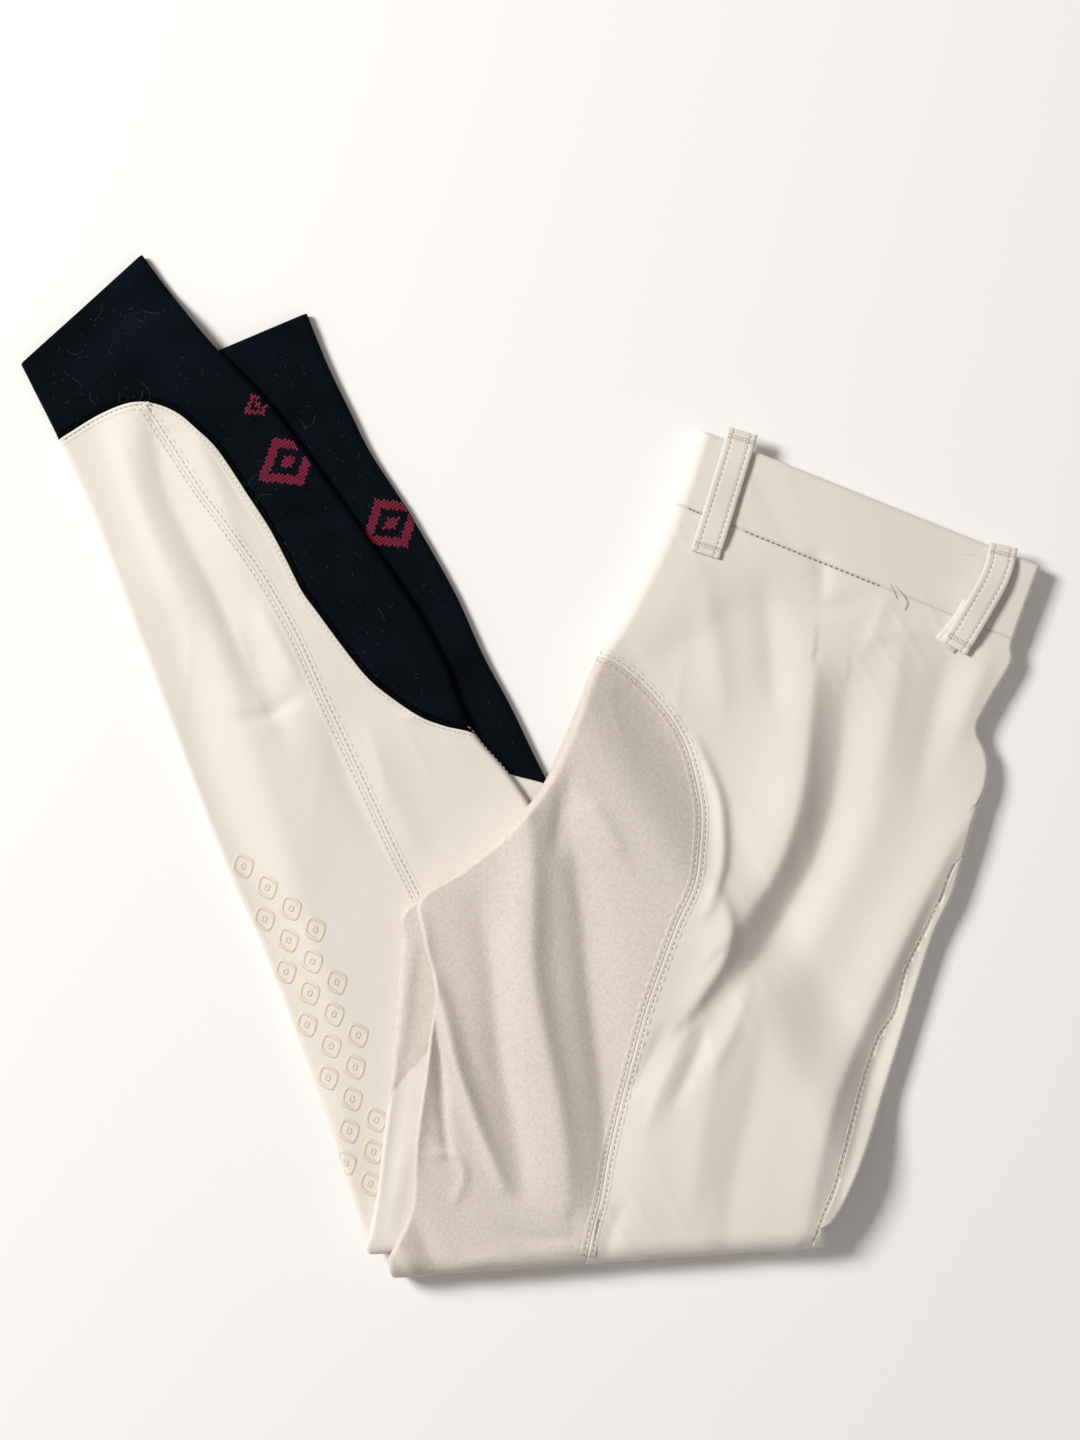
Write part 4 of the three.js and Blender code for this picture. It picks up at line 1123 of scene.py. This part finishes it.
BAND_LAYERS = [("band_back_left", 0.0), ("band_front_left", 3.1), ("band_front_right", 6.4)]
for name, low in BAND_LAYERS:
    s, t = np.meshgrid(np.linspace(0.04, 0.98, 30), np.linspace(0, 1, 90), indexing="ij")
    cut = section_at(right_thigh, s)
    first = cut["edge"] + 1.6
    along = first + (cut["width"] - LEG_EDGE - 1.6 - first) * t
    x = cut["inner"][..., 0] + cut["across"][..., 0] * along
    y = cut["inner"][..., 1] + cut["across"][..., 1] * along
    wave = 0.25 * np.sin(x / 17 + low) * np.sin(y / 13)
    soft = 0.8 * (1 - ease((s - 0.04) / 0.06))
    faces = grid_faces(s.shape[0] - 1, s.shape[1] - 1)
    outer = np.stack([x, y - MIDDLE_Y, low + BAND_WALL + wave - soft + 0.25], axis=-1).reshape(-1, 3)
    inner = np.stack([x, y - MIDDLE_Y, low + 0.25 + wave * 0.5 + soft], axis=-1).reshape(-1, 3)
    points, faces, _ = closed_shell(outer, inner, faces)
    layer = new_object(name + "_cloth", points, faces, stretch_cloth)
    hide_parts(name)

# Belt loops
# Doubled straps folded lengthways, with two rows of stitching, sewn down by a bar tack at each end
# and standing clear of the band between.
LOOPS = [
    {"name": "belt_loop_back", "width": 16.0, "bulge": 1.6, "path": [(112, 176), (102, 143), (92, 111)]},
    {"name": "belt_loop_side", "width": 15.0, "bulge": 3.4,
     "path": [(249, 116), (246, 104), (240, 91), (223, 62)]},
]
LOOP_WALL = 2.0
BAND_TOP = THIGH_HEIGHT + BAND_RISE
STITCH_INSET = 3.4


def loop_surface(loop):
    """Points of a strap by the distance along it and to its left, and the lift above it."""
    line = plan_path(loop["path"], 1.0)
    run = run_length(line)
    left = path_sides(line)

    def surface(along, side, lift):
        t = np.clip(along / run[-1], 0, 1)
        x, y = (np.interp(along, run, line[:, k]) for k in (0, 1))
        nx, ny = (np.interp(along, run, left[:, k]) for k in (0, 1))
        half = loop["width"] / 2
        crown = loop["bulge"] * np.sin(np.pi * t) ** 0.8
        inset = half - np.abs(side)
        edge = -0.5 * np.exp(-(inset / 0.7) ** 2) - 0.35 * np.exp(-((inset - STITCH_INSET) / 0.6) ** 2)
        tack = -0.5 * (np.exp(-((along - 4.5) / 1.6) ** 2) + np.exp(-((run[-1] - along - 4.5) / 1.6) ** 2))
        bow = 0.35 * np.sin(along / 7.0) * side / half
        z = BAND_TOP + 0.3 + crown + LOOP_WALL - 0.4 + edge + tack + bow + lift
        return np.stack([x + nx * side, y + ny * side - MIDDLE_Y, z], axis=-1)

    return surface, run[-1]


LOOP_TAIL = [(238, 83), (232, 72), (222, 60)]
TAIL_OFFSETS = (-11.5, -10.5, -5.0, 0.5, 1.5)
TAIL_LIFTS = (0.6, 1.3, 1.4, 1.3, 0.6)
tail = laid_strip(thigh_top, plan_path(LOOP_TAIL, 1.0), TAIL_OFFSETS, TAIL_LIFTS, base=-0.1)
loop_tail = new_object("belt_loop_side_tail", *tail, stretch_cloth)

for loop in LOOPS:
    surface, length = loop_surface(loop)
    half = loop["width"] / 2
    along, side = np.meshgrid(np.linspace(0, length, 70), np.linspace(half, -half, 33), indexing="ij")
    outer = surface(along, side, 0 * along).reshape(-1, 3)
    inner = surface(along, side, -1.5 + 0.5 * (np.abs(side) > half - 0.6)).reshape(-1, 3)
    points, faces, _ = closed_shell(outer, inner, grid_faces(along.shape[0] - 1, along.shape[1] - 1))
    strap = new_object(loop["name"] + "_strap", points, faces, stretch_cloth)
    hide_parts(loop["name"])
    centre = np.stack([np.linspace(0.5, length - 0.5, 80), np.zeros(80)], axis=1)
    rows = [stitch_row(surface, centre, off, pitch=2.9, length=2.2, thick=0.24) for off in
            (half - STITCH_INSET, STITCH_INSET - half)]
    for tack in (3.6, 4.6, 5.4):
        for at in (tack, length - tack):
            across = np.stack([np.full(30, at), np.linspace(-half + 0.8, half - 0.8, 30)], axis=1)
            rows.append(stitch_row(surface, across, 0.0, pitch=1.5, length=1.3, thick=0.22))
    sewn(loop["name"] + "_stitches", *rows)

# Waistband needle holes in painted shade, and loose threads
# The band is sewn on from behind. Between the loops the row of needle holes has pulled open, and two threads
# have worked loose. The holes there and near the band's end are drawn as dark sunken dashes: painted shade in
# the open holes.
# Painted shade: a dark matt colour for the open needle holes.
needle_hole_shade, tree = new_material("needle_hole_shade")
needle_hole_shade_shader = add_node(tree, "ShaderNodeBsdfPrincipled", Roughness=0.9)
needle_hole_shade_shader.inputs["Base Color"].default_value = linear("#6E6257")
finish_material(tree, needle_hole_shade_shader)


def band_edge(start, end, s=1.004):
    """Plan line just below the band between two shares of its length."""
    share = np.linspace(start, end, 60)
    cut = section_at(right_thigh, np.full(60, s))
    return cut["inner"] + cut["across"] * (cut["width"] * share)[:, None]


shaded_hole_line = band_edge(0.2, 0.6)
end_line = band_edge(0.035, 0.1)
new_object("waist_needle_hole_shade", *merge([
    stitch_row(thigh_top, shaded_hole_line, 0.0, pitch=3.0, length=2.3, thick=0.3, lift=-0.1),
    stitch_row(thigh_top, end_line, 0.0, pitch=2.2, length=2.1, thick=0.26, lift=-0.1)]), needle_hole_shade)


def hair(surface, path, width=0.2, lift=0.5):
    """A loose thread or lint fibre lying along a plan path."""
    line = plan_path(path, 0.6)
    rise = lift * np.sin(np.pi * np.linspace(0.1, 0.9, len(line)))
    left = path_sides(line) * width / 2
    rows = []
    for offset, raise_by in ((left, 0.0), (0 * left, width / 2), (-left, 0.0)):
        rows.append(surface(line[:, 0] + offset[:, 0], line[:, 1] + offset[:, 1], rise + 0.25 + raise_by))
    outer = np.stack(rows, axis=1).reshape(-1, 3)
    points, faces, _ = closed_shell(outer, outer - [0, 0, width * 0.6], grid_faces(len(line) - 1, 2))
    return points, faces


sewn("loose_threads",
     hair(thigh_top, [(192, 95), (196, 90), (198, 86), (197, 82)], 0.35, 0.9),
     hair(thigh_top, [(189, 97), (191, 92), (193, 88)], 0.3, 0.7),
     hair(band_top, [(224, 112), (230, 111), (238, 110)], 0.2, 0.6))

# Lint
# Pale fibres caught in the dark knit, which is what tells its fuzz from a flat black.
lint, tree = new_material("pale_lint")
lint_shader = add_node(tree, "ShaderNodeBsdfPrincipled", Roughness=0.9)
lint_shader.inputs["Base Color"].default_value = linear("#434B55")
finish_material(tree, lint_shader)
chance = np.random.default_rng(7)


def scattered_lint(surface, sections, rows, count, keep):
    table = np.array(sections, dtype=float)
    shapes = []
    while len(shapes) < count:
        s = chance.uniform(*rows)
        share = chance.uniform(0.06, 0.94)
        row = smooth_row(table, np.array([s]))[0]
        spot = row[:2] + (row[2:] - row[:2]) * share
        turn = chance.uniform(0, 2 * np.pi)
        reach = chance.uniform(0.5, 1.0) * (5.5 if chance.random() < 0.12 else 1.3)
        bend = chance.uniform(-0.5, 0.5) * reach
        ahead = np.array([np.cos(turn), np.sin(turn)])
        aside = np.array([-ahead[1], ahead[0]])
        if not keep(spot[0], spot[1]):
            continue
        points = [spot - ahead * reach, spot + aside * bend, spot + ahead * reach]
        shapes.append(hair(surface, [tuple(p) for p in points], 0.12, 0.1))
    return shapes


def on_left_knit(x, y):
    side, _ = seam_side(knit_long, np.array([x]), np.array([y]))
    return side[0] > 2


def on_right_knit(x, y):
    a, b = np.array(LEFT_SHIN_SECTIONS[3][2:]), np.array(LEFT_SHIN_SECTIONS[7][2:])
    side, _ = seam_side(right_knit_long, np.array([x]), np.array([y]))
    return side[0] > 2 and left_of(a, b, x, y) > 3


fibres = scattered_lint(shin_top, LEFT_SHIN_SECTIONS, (0.2, 7.4), 120, on_left_knit)
fibres += scattered_lint(right_shin_top, RIGHT_SHIN_SECTIONS, (0.3, 8.0), 45, on_right_knit)
new_object("knit_lint", *merge(fibres), lint)

# Outer shin seam
# Below the knit's point the calf's two panels meet near the outer edge in one topstitched seam.
outer_seam = plan_path([(-33, 21), (-24, 12), (-14, 2), (-5, -10), (2, -22)])
sewn("shin_seam_stitches", stitch_row(shin_top, outer_seam, 0.0, pitch=2.8, length=2.1, thick=0.24))

visual_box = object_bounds()
boxes = {"cad": cad_box, "visual": visual_box}
{name: [list(map(float, p)) for p in box] for name, box in boxes.items()}
